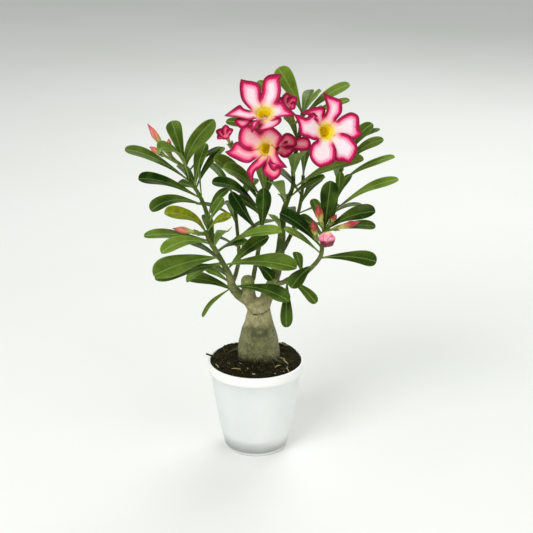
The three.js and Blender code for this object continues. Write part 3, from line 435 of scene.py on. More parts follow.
draw = random.Random(4)
litter = Skin()
for _ in range(CRUMBS):
    crumb(litter, draw, on_soil(draw), draw.uniform(0.35, 1.15) ** 1.6 * 1.1, 0, draw.random() ** 2)
for _ in range(BANKED_CRUMBS):
    a = draw.uniform(0, 2 * math.pi)
    away = draw.uniform(21.5, 24.5)
    x, y = TRUNK_X + away * math.cos(a), FLATTENED * away * math.sin(a)
    banked = soil_height(x, y) + draw.uniform(0, 0.9) * (24.7 - away)
    crumb(litter, draw, Vector((x, y, banked)), draw.uniform(0.5, 1.3), 0, draw.random() ** 2)
for _ in range(CHIPS):
    middle = on_soil(draw, 24, 44) + UP * LOOSE
    a = draw.uniform(0, math.pi)
    half = on_circle(draw.uniform(1.2, 3.6), a, draw.uniform(-0.5, 0.5))
    width = draw.uniform(0.8, 2.2)
    sliver(litter, middle - half, middle + half, width, 0.7, 0, draw.random(), 0.2)
for _ in range(PERLITE_BITS):
    crumb(litter, draw, on_soil(draw) + UP * 0.4, draw.uniform(0.35, 0.8), 1)
for spot in ((-2.5, -38), (-1, -38.6), (19.5, -37), (29, 25), (32, 26)):
    crumb(litter, draw, Vector((*spot, soil_height(*spot) + LOOSE)), 1.1, 1)

STRAWS = [
    ((27.5, -11.5), (33, -17), 1.2),
    ((25.5, -21), (19.5, -27.5), 1.1),
    ((22, -6.5), (30, -9), 1.6),
    ((-24, -27), (-15, -30.5), 1.3),
    ((31, -26), (33.5, -32), 0.9),
    ((-37, -22), (-41, -13), 1.0),
    ((-14, 30), (-3, 37), 1.0),
    ((24, 26), (33, 22), 1.0),
]
for (x1, y1), (x2, y2), width in STRAWS:
    start = Vector((x1, y1, soil_height(x1, y1) + LOOSE))
    end = Vector((x2, y2, soil_height(x2, y2) + LOOSE))
    sliver(litter, start, end, width, 0.8, 2, 0.9, 0.6)
sliver(litter, Vector((-51, 3, 100.3)), Vector((-38, -4, 97.5)), 2.2, 1.8, 0, 0.35, 0.3)
litter_piece = litter.piece("soil_litter", chip_bark, perlite, straw)
finished(litter_piece, slot="potting_mix")


# ---- Trunk ----
# A swollen caudex of soft water-storing wood under thin grey-green bark. It narrows to a fork where two stems
# and the healed stub of a third leave it, and a crease runs round below the left lobe.
class Line:
    """A smooth curve through points, read by its share of length."""

    def __init__(self, dense):
        self.dense = dense
        self.reached = [0.0]
        for a, b in zip(dense, dense[1:]):
            self.reached.append(self.reached[-1] + (b - a).length)
        self.length = self.reached[-1]

    @classmethod
    def through(cls, points):
        """A centripetal Catmull-Rom spline."""
        knots = [Vector(p) for p in points]
        knots = [2 * knots[0] - knots[1], *knots, 2 * knots[-1] - knots[-2]]
        dense = [knots[1]]
        for i in range(1, len(knots) - 2):
            p0, p1, p2, p3 = knots[i - 1 : i + 3]
            d0, d1, d2 = (max(1e-4, (b - a).length ** 0.5) for a, b in ((p0, p1), (p1, p2), (p2, p3)))
            m1 = ((p1 - p0) / d0 - (p2 - p0) / (d0 + d1) + (p2 - p1) / d1) * d1
            m2 = ((p2 - p1) / d1 - (p3 - p1) / (d1 + d2) + (p3 - p2) / d2) * d1
            for k in range(1, 17):
                t = k / 16
                cubic = (2 * p1 - 2 * p2 + m1 + m2) * t**3 + (3 * p2 - 3 * p1 - 2 * m1 - m2) * t**2
                dense.append(cubic + m1 * t + p1)
        return cls(dense)

    @classmethod
    def bezier(cls, *points, steps=24):
        """A curve that starts and ends at the outer points and is drawn towards those between."""
        dense = []
        for k in range(steps + 1):
            level = [Vector(p) for p in points]
            while len(level) > 1:
                level = [a.lerp(b, k / steps) for a, b in zip(level, level[1:])]
            dense.append(level[0])
        return cls(dense)

    def at(self, share):
        """The place at a share of the length."""
        goal = share * self.length
        i = 0
        while i < len(self.dense) - 2 and self.reached[i + 1] < goal:
            i += 1
        gap = self.reached[i + 1] - self.reached[i]
        return self.dense[i].lerp(self.dense[i + 1], (goal - self.reached[i]) / gap)

    def heading(self, share):
        """The direction of the line there."""
        return (self.at(min(1, share + 0.01)) - self.at(max(0, share - 0.01))).normalized()


def sweep(line, first, last, radius_at, sides, steps):
    """Rings round a stretch of a line, with the places on them as (share, turn, radius)."""
    rings, spots = [], []
    across = None
    for step in range(steps + 1):
        share = first + (last - first) * step / steps
        heading = line.heading(share)
        if across is None:
            across = heading.orthogonal().normalized()
        across = (across - heading * across.dot(heading)).normalized()
        other = heading.cross(across)
        ring, spot = [], []
        for side in range(sides):
            turn = 2 * math.pi * side / sides
            radius = radius_at(share, turn)
            ring.append(line.at(share) + across * radius * math.cos(turn) + other * radius * math.sin(turn))
            spot.append((share, side / sides, radius))
        rings.append(ring)
        spots.append(spot)
    return rings, spots


def rod(skin, line, radius_at, sides, steps, last=1.0):
    """A round rod along a line, as far as a share of its length."""
    rings, _ = sweep(line, 0, last, radius_at, sides, steps)
    skin.loft(rings, 0)


def ramp_between(low, high, share):
    return low + (high - low) * share


BRANCHES = {}


def branch(name, points, radii, leaves=(), wood=0.0):
    """A stem, its radius at the root and the tip, its leaves and the share of it that is old wood."""
    BRANCHES[name] = {"line": Line.through(points), "radii": radii, "leaves": leaves, "wood": wood}


def stem_radius(name):
    """The radius of a branch as a function of the share of its length."""
    thick, thin = BRANCHES[name]["radii"]
    return lambda share, turn=0: ramp_between(thick, thin, min(1, 1.6 * share))


KNOB_POINTS = [(-1, 1, 150), (-6, 2, 162), (-7.5, 3, 174), (-9, 3, 186)]
CAUDEX = [
    (5, 46), (14, 65), (20, 80), (22.6, 94), (21.6, 104), (20, 117), (17.4, 128), (13.8, 139),
    (12, 149), (11.4, 156), (9, 160), (4, 163),
]
CAUDEX_RINGS = 70
CAUDEX_SIDES = 72
KNOB_RADIUS = 7
BARK_CELL = 0.8
LOBE_X = 1.1
CREASE_LEVEL, CREASE_RISE, CREASE_LEAN, CREASE_ROUND = 147.1, 0.58, 0.22, 12
CREASE_DEPTH = 1.1

branch(
    "left",
    [
        (-1, 0, 146), (-5, 0, 158), (-14.5, -1, 165), (-22.5, -2, 175), (-27, -4, 191),
        (-33.5, -6, 205), (-40, -8, 218), (-45, -10, 228), (-48, -10, 238),
    ],
    (7, 2.6), wood=0.26,
)
branch(
    "centre",
    [
        (5, 0, 146), (10, 0, 161), (16, 1, 177), (21, 3, 192), (25, 5, 215), (28, 7, 252),
        (31, 8, 262), (37, 9, 278), (37, 9, 305), (41, 9, 317), (46, 8, 353),
    ],
    (7.5, 2), wood=0.2,
)

bark = Finish("trunk_bark", Roughness=0.7, Specular_IOR_Level=0.2)
side_on, front_on, height = bark.place.parts()
mottle = bark.grain(110, 4).step(0.3, 0.7)
weather = bark.grain(420, 4).step(0.25, 0.8)
fissure = bark.grain(330, 3, (1, 1, 0.2), 0.6).step(0.54, 0.66)
from_ring = bark.wire.node(
    "ShaderNodeVectorMath", {"operation": "DISTANCE"}, {0: bark.place, 1: (-0.0025, -0.012, 0.1455)}, "Value"
)
ripple = ((from_ring + mottle * 0.0035) * 2400).math("SINE") * 0.5 + 0.5
ripple = ripple.step(0.4, 1.0) * from_ring.step(0.0115, 0.007) * from_ring.step(0.0, 0.003)
low_bark = (mottle * 0.3 + weather * 0.7).between((0.3, 0.3, 0.18), (0.5, 0.5, 0.34))
upper_bark = (weather * 0.6 + mottle * 0.4).between((0.54, 0.52, 0.36), (0.71, 0.68, 0.51))
bark.tone = (height + mottle * 0.008).step(0.136, 0.147).between(low_bark, upper_bark)
flank = abs(side_on - 0.0035).step(0.006, 0.02) * height.step(0.15, 0.14)
bark.coat(flank * (weather * 0.35 + 0.2), (0.59, 0.6, 0.44))
uneven = height + mottle * 0.004
stain = uneven.step(0.1275, 0.1305) * uneven.step(0.137, 0.1335)
stain = stain * abs(side_on - 0.0035 + (mottle - 0.5) * 0.004).step(0.0095, 0.006)
bark.coat(stain * (weather * 0.4 + 0.4), (0.2, 0.2, 0.12))
fork_shade = uneven.step(0.156, 0.162) * mottle.step(0.2, 0.9)
bark.coat(fork_shade * 0.55, (0.30, 0.29, 0.19))
green = (height + mottle * 0.01).step(0.168, 0.186)
bark.coat(green, weather.between((0.40, 0.45, 0.2), (0.58, 0.62, 0.36)))
# Darker where the trunk goes into the soil: painted shadow at its foot together with soil on the bark.
foot_shadow_and_soil = (height + weather * 0.006).step(0.114, 0.103)
bark.coat(foot_shadow_and_soil * 0.85, (0.14, 0.14, 0.07))
off_lobe = side_on + LOBE_X * MM
rounded = (off_lobe * off_lobe + CREASE_ROUND * MM**2).math("SQRT")
crease = rounded * CREASE_RISE - off_lobe * CREASE_LEAN + CREASE_LEVEL * MM
off_crease = abs(height - crease + (mottle - 0.5) * 0.0016)
crease_line = off_crease.step(0.0018, 0.0004) * front_on.step(0.0, -0.004) * weather.step(0.0, 0.5)
crack = fissure * 0.2 + ripple * 0.42 + crease_line * 0.6
bark.coat(crack, (0.25, 0.24, 0.14))
bark.feed(Roughness=mottle * 0.2 + 0.55)
bark.bump((1 - fissure) * 0.4 + (1 - ripple) * 0.4 + bark.grain(900, 4) * 0.2, 0.0006)

trunk_skin = Skin()
rings = []
for step in range(CAUDEX_RINGS):
    level = ramp_between(CAUDEX[0][1], CAUDEX[-1][1], step / (CAUDEX_RINGS - 1))
    upper = next(i for i in range(1, len(CAUDEX)) if CAUDEX[i][1] >= level - 1e-6)
    (r0, z0), (r1, z1) = CAUDEX[upper - 1], CAUDEX[upper]
    radius = ramp_between(r0, r1, (level - z0) / (z1 - z0))
    ring = []
    for a in round_about(CAUDEX_SIDES):
        lobes = 1 + 0.035 * math.sin(3 * a + level / 25) + 0.02 * math.sin(7 * a - level / 18)
        full = radius * lobes
        ring.append((TRUNK_X + full * math.cos(a), FLATTENED * full * math.sin(a), level))
    rings.append(ring)
trunk_skin.loft(rings, 0)
for name, top in (("left", 0.27), ("centre", 0.21)):
    rod(trunk_skin, BRANCHES[name]["line"], stem_radius(name), 32, 30, top)
knob = Line.through(KNOB_POINTS)
rod(trunk_skin, knob, lambda share, turn: KNOB_RADIUS * math.sqrt(1 - 0.75 * share**11), 32, 30)
root_lines = [
    Line.through([(14, -16, 108), (21, -19, 103), (26, -17, 99.5), (31, -13, 97)]),
    Line.through([(1, -18, 110), (2, -21.5, 105), (1.5, -23.5, 101), (2.5, -25.5, 98)]),
    Line.through([(-16, 9, 104), (-23, 13, 100), (-29, 14, 97)]),
]
for line, thick in zip(root_lines, (2.2, 1.1, 2.0)):
    rod(trunk_skin, line, lambda share, turn, r=thick: r * (1 - 0.6 * share), 12, 14)
trunk = trunk_skin.piece("trunk_wood", bark)
melt = trunk.modifiers.new("one_skin", "REMESH")
melt.mode = "VOXEL"
melt.voxel_size = BARK_CELL * MM
melt.use_smooth_shade = True
ease = trunk.modifiers.new("soft_forks", "SMOOTH")
ease.factor = 0.6
ease.iterations = 7
applied(trunk)
skin_points = [vertex.co / MM for vertex in trunk.data.vertices]
outwards = [vertex.normal.copy() for vertex in trunk.data.vertices]
carved = []
for spot, outward in zip(skin_points, outwards):
    a = math.atan2(spot.y, spot.x - TRUNK_X)
    wrinkle = noise.noise(Vector((math.cos(a), math.sin(a), spot.z / 2.4)) * 1.4)
    groove = noise.noise(Vector((9 * math.cos(a), 9 * math.sin(a), spot.z / 26)))
    swell = noise.noise(spot / 9)
    rise = 0.22 * wrinkle + 0.2 * groove + 0.5 * swell
    off_lobe = spot.x + LOBE_X
    crease = CREASE_LEVEL + CREASE_RISE * math.sqrt(off_lobe**2 + CREASE_ROUND) - CREASE_LEAN * off_lobe
    if spot.y < 0:
        rise -= CREASE_DEPTH * math.exp(-((spot.z - crease) ** 2))
    carved.extend((spot + outward * rise) * MM)
trunk.data.vertices.foreach_set("co", carved)
trunk.data.update()
finished(trunk, "trunk", slot="bark")


# ---- Leafy branches ----
# Soft green stems that carry thick waxy leaves, crowded towards their tips: dark glossy green above, paler
# below, with a pale midrib. Each branch grows out of the trunk or out of the bark of an older branch.
LEAF_SKINS = {"gloss": 0, "stem": 1}

foliage = Finish("waxy_leaf", Specular_IOR_Level=0.07, Subsurface_Weight=0.05, Subsurface_Scale=0.002)
across, along, half_width = painted(foliage, "spot")
tone, autumn, face = painted(foliage, "look")
away = abs(across)
above = face.step(-0.2, 0.2)
patch = foliage.grain(45, 3).step(0.3, 0.7)
fine = foliage.grain(260, 4).step(0.3, 0.7)
share = away / half_width
dark_leaf = patch.between((0.05, 0.14, 0.0), (0.11, 0.24, 0.01))
# light_leaf is the pale grey-green that a high tone gives a leaf: on young leaves it is their own colour, on
# others it is a painted sheen standing in for light reflected off the wax.
light_leaf = patch.between((0.45, 0.58, 0.15), (0.58, 0.69, 0.28))
# Painted sheen: broad lighter patches across each blade stand in for soft highlights of light reflected off
# the wax.
painted_sheen = foliage.grain(38, 2).step(0.38, 0.66)
upper_leaf = (tone + (painted_sheen - 0.45) * 0.24).between(dark_leaf, light_leaf)
lower_leaf = patch.between((0.4, 0.5, 0.2), (0.52, 0.61, 0.33))
foliage.tone = above.between(lower_leaf, upper_leaf)
chevron = ((along - away * 0.75) / 4.2 + patch * 0.12).math("FRACT")
vein = abs(chevron - 0.5).step(0.1, 0.0) * share.step(1.0, 0.5)
foliage.coat(vein * (0.06 + tone * 0.16), (0.5, 0.62, 0.3))
foliage.coat(share.step(0.86, 1.0) * (0.1 + tone * 0.6), (0.58, 0.7, 0.38))
yellow = fine.between((0.55, 0.58, 0.06), (0.42, 0.5, 0.05))
rust = foliage.grain(130, 2).step(0.6, 0.7)
yellow = (rust * 0.5).between(yellow, (0.6, 0.42, 0.12))
foliage.coat(autumn, yellow)
rib = away.step(0.95, 0.35)
foliage.coat(rib * (0.22 + tone * 0.5), (0.62, 0.72, 0.42))
stalk_end = along.step(9, 2)
foliage.coat(stalk_end * 0.6, (0.5, 0.6, 0.3))
foliage.coat(fine * 0.12, (0.1, 0.2, 0.03))
foliage.feed(Roughness=above * -0.22 + fine * 0.12 + 0.5)
foliage.bump(1 - vein * 0.5 - rib * above * 0.5 + fine * 0.12, 0.00035)

young_bark = Finish("green_stem", Roughness=0.6, Specular_IOR_Level=0.2)
height = young_bark.place.parts()[2]
mottle = young_bark.grain(240, 4).step(0.3, 0.72)
patchy = young_bark.grain(80, 3).step(0.35, 0.65)
old = patchy.between((0.34, 0.37, 0.19), (0.5, 0.51, 0.32))
fresh = patchy.between((0.18, 0.26, 0.03), (0.32, 0.4, 0.1))
stem_tone = (height + mottle * 0.02).step(0.19, 0.25).between(old, fresh)
ring_scar = young_bark.grain(380, 2, (0.3, 0.3, 1.8), 0.4).step(0.56, 0.66)
young_bark.feed(Base_Color=(ring_scar * 0.4 + mottle * 0.15).between(stem_tone, (0.24, 0.26, 0.13)))
young_bark.bump(mottle * 0.6 + (1 - ring_scar) * 0.4, 0.0004)

LEAF_COLUMNS = (-1, -0.95, -0.72, -0.45, -0.2, -0.07, 0, 0.07, 0.2, 0.45, 0.72, 0.95, 1)
LEAF_STATIONS = 22
LEAF_END = 0.9985
LEAF_STALK = 1.0
BLADE_THICK, BLADE_EDGE = 0.5, 0.22
RIB_THICK, RIB_WIDTH = 0.9, 0.95
BROAD_LEAF = 15.5
BROAD_FOLD, NARROW_FOLD = 24, 14
GOLDEN_SHARE = 0.382
OVERLAP = 0.06


def turn_about(vector, axis, angle):
    """The vector turned about an axis that it stands square to."""
    return vector * math.cos(angle) + axis.cross(vector) * math.sin(angle)


def two_faced(look, count, rows):
    """The painted values of a sheet, whose last one is 1 on its upper face and -1 on its lower."""
    return [[(*look, 1)] * count + [(*look, -1)] * count] * rows


def leaf(at, reach, width, arch=0.06, **more):
    """A leaf from a share of its stem's length, with the way to its tip and its width. More may hold
    lean, sway and roll for its bends, face for its compass side, blunt for its tip, tone and autumn."""
    return {"at": at, "reach": reach, "width": width, "arch": arch, **more}


def leaf_blade(skin, draw, root, shape):
    """A spatulate blade folded along its midrib, from its short stalk to its blunt tip."""
    span = Vector(shape["reach"])
    width = shape["width"]
    outward = Vector((span.x, span.y, 0)).normalized()
    if "face" in shape:
        outward = -on_circle(1, math.radians(shape["face"]))
    side = outward.cross(UP)
    rise = side.cross(span).normalized()
    bow = rise * 2 * shape["arch"] + side * 2 * shape.get("sway", 0)
    control = root + span * shape.get("lean", 0.55) + bow * span.length
    tip = root + span
    fold = math.radians(BROAD_FOLD if width >= BROAD_LEAF else NARROW_FOLD)
    roll = math.radians(shape.get("roll", 0))
    blunt = shape.get("blunt", 4)
    fullest = 2.2 / (2.2 + blunt)
    fullest = fullest ** (1.1 / blunt) * math.sqrt(1 - fullest)
    wave, phase, twist = draw.uniform(0.02, 0.05), draw.uniform(0, 6), math.radians(draw.uniform(-9, 9))
    rings, spots = [], []
    for station in range(LEAF_STATIONS):
        t = min(1 - (1 - station / (LEAF_STATIONS - 1)) ** 1.5, LEAF_END)
        middle = root.lerp(control, t).lerp(control.lerp(tip, t), t)
        heading = ((control - root).lerp(tip - control, t)).normalized()
        across = (side - heading * side.dot(heading)).normalized()
        across = turn_about(across, heading, roll + twist * t)
        normal = across.cross(heading)
        outline = t**1.1 * math.sqrt(max(0, 1 - t**blunt)) / fullest
        stalk = LEAF_STALK * (1 - 0.2 * t) if t < 0.6 else 0.02
        half = max(stalk, width / 2 * outline)
        slope = fold * min(1, 3 * t)
        upper, lower, places = [], [], []
        for s in LEAF_COLUMNS:
            flat = abs(s)
            lift = half * math.sin(slope) * (flat**1.15 - 0.14 * flat**3)
            ripple = wave * width * outline * flat**2 * math.sin(9 * t + phase + (1.3 if s > 0 else 0))
            point = middle + across * s * half * math.cos(slope) + normal * (lift + ripple)
            thick = BLADE_EDGE if flat == 1 else BLADE_THICK
            thick += RIB_THICK * math.exp(-((s * half / RIB_WIDTH) ** 2))
            thick = min(thick, 0.25 + 1.6 * half)
            upper.append(point + normal * thick * 0.42)
            lower.append(point - normal * thick * 0.58)
            places.append((s * half, t * span.length, max(half, 1.2)))
        rings.append(upper + lower[::-1])
        spots.append(places + places[::-1])
    look = (shape.get("tone", 0.35) + draw.uniform(-0.07, 0.07), shape.get("autumn", 0))
    skin.loft(rings, LEAF_SKINS["gloss"], spots, two_faced(look, len(LEAF_COLUMNS), LEAF_STATIONS))


def rosette(count, first, last, sector, length, seed):
    """Leaves round a stem by the golden angle, within a sector of the compass, rising towards its tip."""
    state = seed
    leaves = []
    for i in range(count):
        rolls = []
        for _ in range(3):
            state = (state * 1664525 + 1013904223) % 2**32
            rolls.append(state / 2**32)
        azimuth = math.radians(ramp_between(*sector, (0.31 + GOLDEN_SHARE * i) % 1))
        rise = math.radians(38 * i / count + 14 * (rolls[0] - 0.5))
        size = length * (0.85 + 0.3 * rolls[1])
        flat = size * math.cos(rise)
        reach = (flat * math.cos(azimuth), flat * math.sin(azimuth), size * math.sin(rise))
        at = ramp_between(first, last, i / (count - 1))
        leaves.append(leaf(at, reach, 11 + 2 * rolls[2], 0.08, tone=0.22))
    return leaves


BACK = (25, 155)
BRANCHES["left"]["leaves"] = [
    leaf(0.93, (-41, -22, 32), 18, 0.15, lean=0.45, roll=-35, autumn=1),
    leaf(0.98, (24, -19, 22), 12, 0.12, roll=45, autumn=1),
    leaf(0.89, (-63, -20, 12), 14, roll=-30, tone=0.45),
    leaf(0.85, (-47, -39, 5), 16, 0.13, roll=-35, tone=0.7),
    leaf(0.82, (16, -39, 30), 17, tone=0.65),
    leaf(0.77, (64, -44, 35), 16, 0.07, roll=30, tone=0.65),
    leaf(0.75, (27, -28, 19), 11, 0.09, roll=30, tone=0.1),
    leaf(0.7, (-61, -53, 0), 25, 0.05, roll=-45, tone=0.5),
    leaf(0.62, (-65, -38, -2), 17, 0.03, roll=-40, tone=0.15),
    leaf(0.37, (56, -34, -3), 19, sway=-0.04, roll=25, tone=0.1),
    leaf(0.64, (-37, 11, -24), 13, 0.07, roll=-30, tone=0.5),
    leaf(0.31, (-50, 24, 5), 16, roll=-30, tone=0.25),
    leaf(0.36, (-30, -18, -25), 11, 0.09, roll=5, tone=0.35, autumn=0.3),
    leaf(0.39, (-26, -10, 20), 10, 0.05, roll=-30, tone=0.5),
    leaf(0.61, (71, -43, 12), 22, roll=35, tone=0.42),
    leaf(0.55, (42, -15, 40), 18, 0.05, roll=50, tone=0.25),
    *rosette(3, 0.45, 0.8, (100, 165), 50, 3),
]
branch(
    "left_high",
    [
        (-43, -9, 224), (-44, -6, 235), (-46, -3, 245), (-50, 2, 259),
        (-57, 6, 273), (-64, 9, 283), (-69, 12, 297),
    ],
    (2.4, 1.9),
    [
        leaf(0.8, (-62, -16, 37), 15, 0.07, lean=0.65, roll=-35, tone=0.25),
        leaf(0.83, (-27, -39, 41), 19, 0.18, lean=0.6, roll=-30, tone=0.55),
        leaf(0.98, (-12, -10, 50), 17, 0.03, face=-70, tone=0.3, blunt=16),
        leaf(0.96, (29, -19, 55), 20, sway=-0.12, roll=20, face=-100, tone=0.5),
        leaf(0.72, (12, 7, 43), 16, 0.07, face=-120),
        leaf(0.7, (28, 23, 36), 13, 0.08),
        leaf(0.54, (-1, 4, 38), 12, 0.03, face=180),
        leaf(0.57, (-59, -19, 25), 17, 0.07, lean=0.65, roll=-35, tone=0.1),
        leaf(0.71, (-20, 23, -3), 12, roll=-30),
        leaf(0.48, (-50, -23, 1), 18, 0.15, lean=0.65, roll=-30, tone=0.15),
        leaf(0.31, (21, 4, 29), 12, 0.12, roll=30),
        leaf(0.26, (15, -7, 27), 10, 0.03, roll=70),
        *rosette(3, 0.35, 0.92, BACK, 50, 5),
    ],
)
branch(
    "mid",
    [
        (-8, 3, 170), (-3, 7, 180), (-1, 8, 190), (2, 9, 206), (6, 11, 232),
        (9, 12, 258), (12, 9, 290), (12, 6, 308),
    ],
    (2.4, 1.9),
    [
        leaf(0.42, (-28, -22, 52), 17, 0.05, roll=-40, face=-80, tone=0.05),
        leaf(0.46, (2, -19, 49), 17, 0.04, face=-80, tone=0.1),
        leaf(0.61, (-48, -30, 59), 20, 0.07, roll=-55, tone=0.25, blunt=8),
        leaf(0.65, (-39, -42, 48), 19, 0.08, roll=-50, tone=0.4),
        leaf(0.57, (-50, -16, 37), 17, 0.12, lean=0.65, roll=-30, tone=0.15),
        leaf(0.54, (-26, 2, 22), 11, 0.07, roll=-30),
        leaf(0.69, (-6, -16, 40), 11, 0.04),
        leaf(0.68, (6, 14, 22), 11),
        leaf(0.2, (17, -20, -9), 12, 0.08, roll=30, tone=0.1),
        leaf(0.3, (-23, -14, 16), 13, 0.08, roll=-30),
        *rosette(2, 0.72, 0.88, (70, 115), 48, 7),
    ],
)
BRANCHES["centre"]["leaves"] = [
    leaf(0.56, (-15, -46, 34), 19, tone=0.55, blunt=9),
    leaf(0.68, (2, -21, 31), 13),
    leaf(0.71, (13, -17, 27), 10),
    leaf(0.63, (68, -23, 36), 18, roll=30, tone=0.45),
    leaf(0.58, (35, -18, 27), 13, 0.05, roll=30),
    leaf(0.42, (-12, -18, 23), 11),
    leaf(0.99, (-24, -2, 45), 20, roll=-10, face=-60, tone=0.65, blunt=8),
    leaf(0.99, (17, -10, 25), 12, 0.02, roll=40, tone=0.75),
    leaf(0.97, (46, 4, 32), 14, 0.07, roll=30, tone=0.55),
    leaf(0.95, (46, -6, 23), 10, roll=30, tone=0.6),
    leaf(0.93, (21, -10, 21), 11, 0.04, roll=30, tone=0.7),
    leaf(0.87, (-40, 30, 51), 14, roll=-30, tone=0.5),
    leaf(0.83, (-70, 21, 21), 14, 0.07, roll=-30),
    leaf(0.88, (-15, -8, 21), 11, 0.04, tone=0.6),
    leaf(0.85, (-13, 11, 29), 12, tone=0.5),
    *rosette(3, 0.54, 0.96, (75, 130), 52, 11),
]
branch(
    "right_low",
    [
        (17, 2, 182), (25, -2, 180), (34, -3, 185), (47, -5, 190), (59, -7, 202),
        (65, -8, 212), (66, -9, 223), (68, -10, 240),
    ],
    (2.6, 2.2),
    [
        leaf(0.19, (-1, -11, -47), 14, 0.04, roll=180, face=-70, tone=0.05),
        leaf(0.21, (27, -13, -21), 11, roll=50),
        leaf(0.55, (-23, -23, -16), 17, 0.08, roll=-35, tone=0.2),
        leaf(0.98, (5, -4, 52), 20, 0.02, face=-90, tone=0.05),
        leaf(0.98, (48, -18, 25), 19, 0.07, roll=35, tone=0.15),
        leaf(0.96, (50, -5, 7), 12, 0.08, roll=35, tone=0.25),
        leaf(0.88, (-16, 36, 8), 11),
        leaf(0.94, (-11, 16, 31), 12, 0.05),
        leaf(0.92, (-24, 14, 15), 12, roll=-30),
        leaf(0.77, (-42, 1, 36), 19, 0.07, roll=-35, tone=0.05),
        leaf(0.7, (-37, -20, 33), 12, 0.04, roll=-35, tone=0.65),
        leaf(0.65, (56, -6, -2), 17, roll=50, tone=0.2, blunt=7),
        leaf(0.37, (-7, 15, 19), 11),
    ],
)
branch(
    "right_high",
    [(67, -9, 232), (74, -2, 244), (79, 4, 260), (81, 9, 279), (84, 13, 293), (85, 15, 311)],
    (2.3, 1.7),
    [
        leaf(0.82, (31, 13, 41), 14, 0.1, roll=30, tone=0.35),
        leaf(0.78, (41, -5, 33), 14, 0.1, roll=30, tone=0.45),
        leaf(0.63, (54, -13, 31), 11, roll=30, tone=0.75),
        leaf(0.32, (61, -14, 36), 14, 0.07, roll=30, tone=0.75),
        leaf(0.44, (15, 17, 22), 11),
        leaf(0.48, (2, -12, 29), 10, 0.04, face=-60),
        *rosette(3, 0.3, 0.95, (10, 120), 46, 13),
    ],
)
branch(
    "rear_left",
    [(-24, -2, 178), (-20, 8, 186), (-17, 20, 198), (-18, 32, 216), (-20, 40, 236), (-21, 44, 256)],
    (2.3, 1.8),
    rosette(7, 0.35, 0.98, (20, 200), 50, 17),
)
branch(
    "rear_right",
    [(24, 4, 208), (30, 14, 214), (38, 26, 228), (44, 34, 246), (47, 38, 264), (48, 40, 280)],
    (2.3, 1.8),
    rosette(7, 0.35, 0.98, (-15, 150), 50, 19),
)

for name, grown in BRANCHES.items():
    draw = random.Random(name)
    skin = Skin()
    plain = stem_radius(name)
    wood = grown["wood"]
    start = max(0, wood - OVERLAP)

    def bark_radius(share, turn):
        """The stem's radius, knobbly with leaf scars and thinner where it leaves the stub."""
        emerge = 1 if wood == 0 else min(1, 0.86 + 0.14 * (share - start) / OVERLAP)
        return plain(share) * emerge * (1 + 0.05 * math.sin(3 * turn + 40 * share) * math.sin(70 * share))

    rings, spots = sweep(grown["line"], start, 1, bark_radius, 16, int(grown["line"].length / 2))
    skin.loft(rings, LEAF_SKINS["stem"], spots)
    for shape in grown["leaves"]:
        leaf_blade(skin, draw, grown["line"].at(shape["at"]), shape)
    finished(skin.piece(f"{name}_branch", foliage, young_bark), name, slot="foliage")


# ---- Blooms ----
# Trumpet flowers of five thin petals on a tube, each on a short green stalk with five sepals. The petals
# are white in the middle, pink further out and crimson along the waved margin, and the throat is yellow.
def sheet(clockwise, counter, rise=0, back=0):
    """A petal from the lines of its two margins, seen from the front. Both run from the throat to its
    corner, which the first line gives."""
    return {"margins": (clockwise, [*counter, clockwise[-1]]), "rise": rise, "back": back}


def ring_of(length, width, mouth):
    """Five like petals round a throat, each leaning to one side at its tip."""
    petals = []
    for turn in round_about(5):
        turn += math.radians(18)
        sides = []
        for lean, swell in ((-0.62, -0.5), (0.62, 0.5)):
            line = []
            for along in (0, 0.35, 0.7, 0.92, 1):
                reach = mouth + length * along
                bulge = 1.1 * swell * width / reach * math.sin(math.pi * min(1, 0.25 + 0.75 * along))
                line.append(on_circle(reach, turn + lean * (1 - along) + bulge + 0.2 * along)[:2])
            sides.append(line)
        petals.append(sheet(sides[0], sides[1][:-1]))
    return petals


WIDE_OPEN = {"mouth": 7, "reach": 30, "rise": 9}
BLOOMS = {}
BLOOMS["bloom_1"] = dict(
    branch="mid", calyx=(9, -9, 335), throat=(9, -32, 361), axis=(0, -0.57, 0.82),
    blush=0.1, **WIDE_OPEN,
    petals=[
        sheet([(-2, 10.5), (-2.6, 15), (-3, 20), (-3.8, 24.5), (-7, 27.5), (-12, 28.5), (-17, 28),
               (-22, 27.5)],
              [(-12.5, -0.5), (-17, 3), (-21.5, 8.5), (-23, 16), (-23, 22.5)], rise=9),
        sheet([(6.5, 6), (11, 9), (14, 12.5), (15.5, 17.5), (15.5, 23.5), (14.5, 29), (15.5, 31), (17, 33)],
              [(-2.5, 9.5), (-4, 15), (-2.5, 20), (-2, 25), (-0.5, 29.5), (3.5, 32.5), (9, 33.5)], rise=9),
        sheet([(-11.5, 2), (-19, 1.5), (-22.5, 4.5), (-26.5, 1.5), (-32, -4.5), (-37, -11.5)],
              [(-6, -9.5), (-13, -14.5), (-19.5, -14.5), (-26, -13.5), (-31.5, -13)]),
        sheet([(-8.5, -10.5), (-12.5, -15), (-12.5, -24.5), (-11.5, -32)],
              [(-2, -8.5), (-5.5, -20.5), (-8.5, -28)]),
        sheet([(3.5, -6.5), (7, -10.5), (12.5, -9.5), (18, -9.5), (23.5, -10.5), (29.5, -9.5)],
              [(6, 6), (10, 8.5), (14.5, 9.5), (18.5, 7), (22, 0)]),
        sheet([(-2, -4.5), (-6, -18.5), (-7.5, -26.5)],
              [(5.5, -3.5), (15.5, -9), (15.5, -15.5), (11, -21), (0.5, -25)], back=3),
        sheet([(-15, -8), (-24.5, -9), (-28, -12.5), (-26, -18.5), (-22.5, -23.5)],
              [(-9.5, -7.5), (-12.5, -16.5), (-17, -22.5)], back=3),
    ],
)
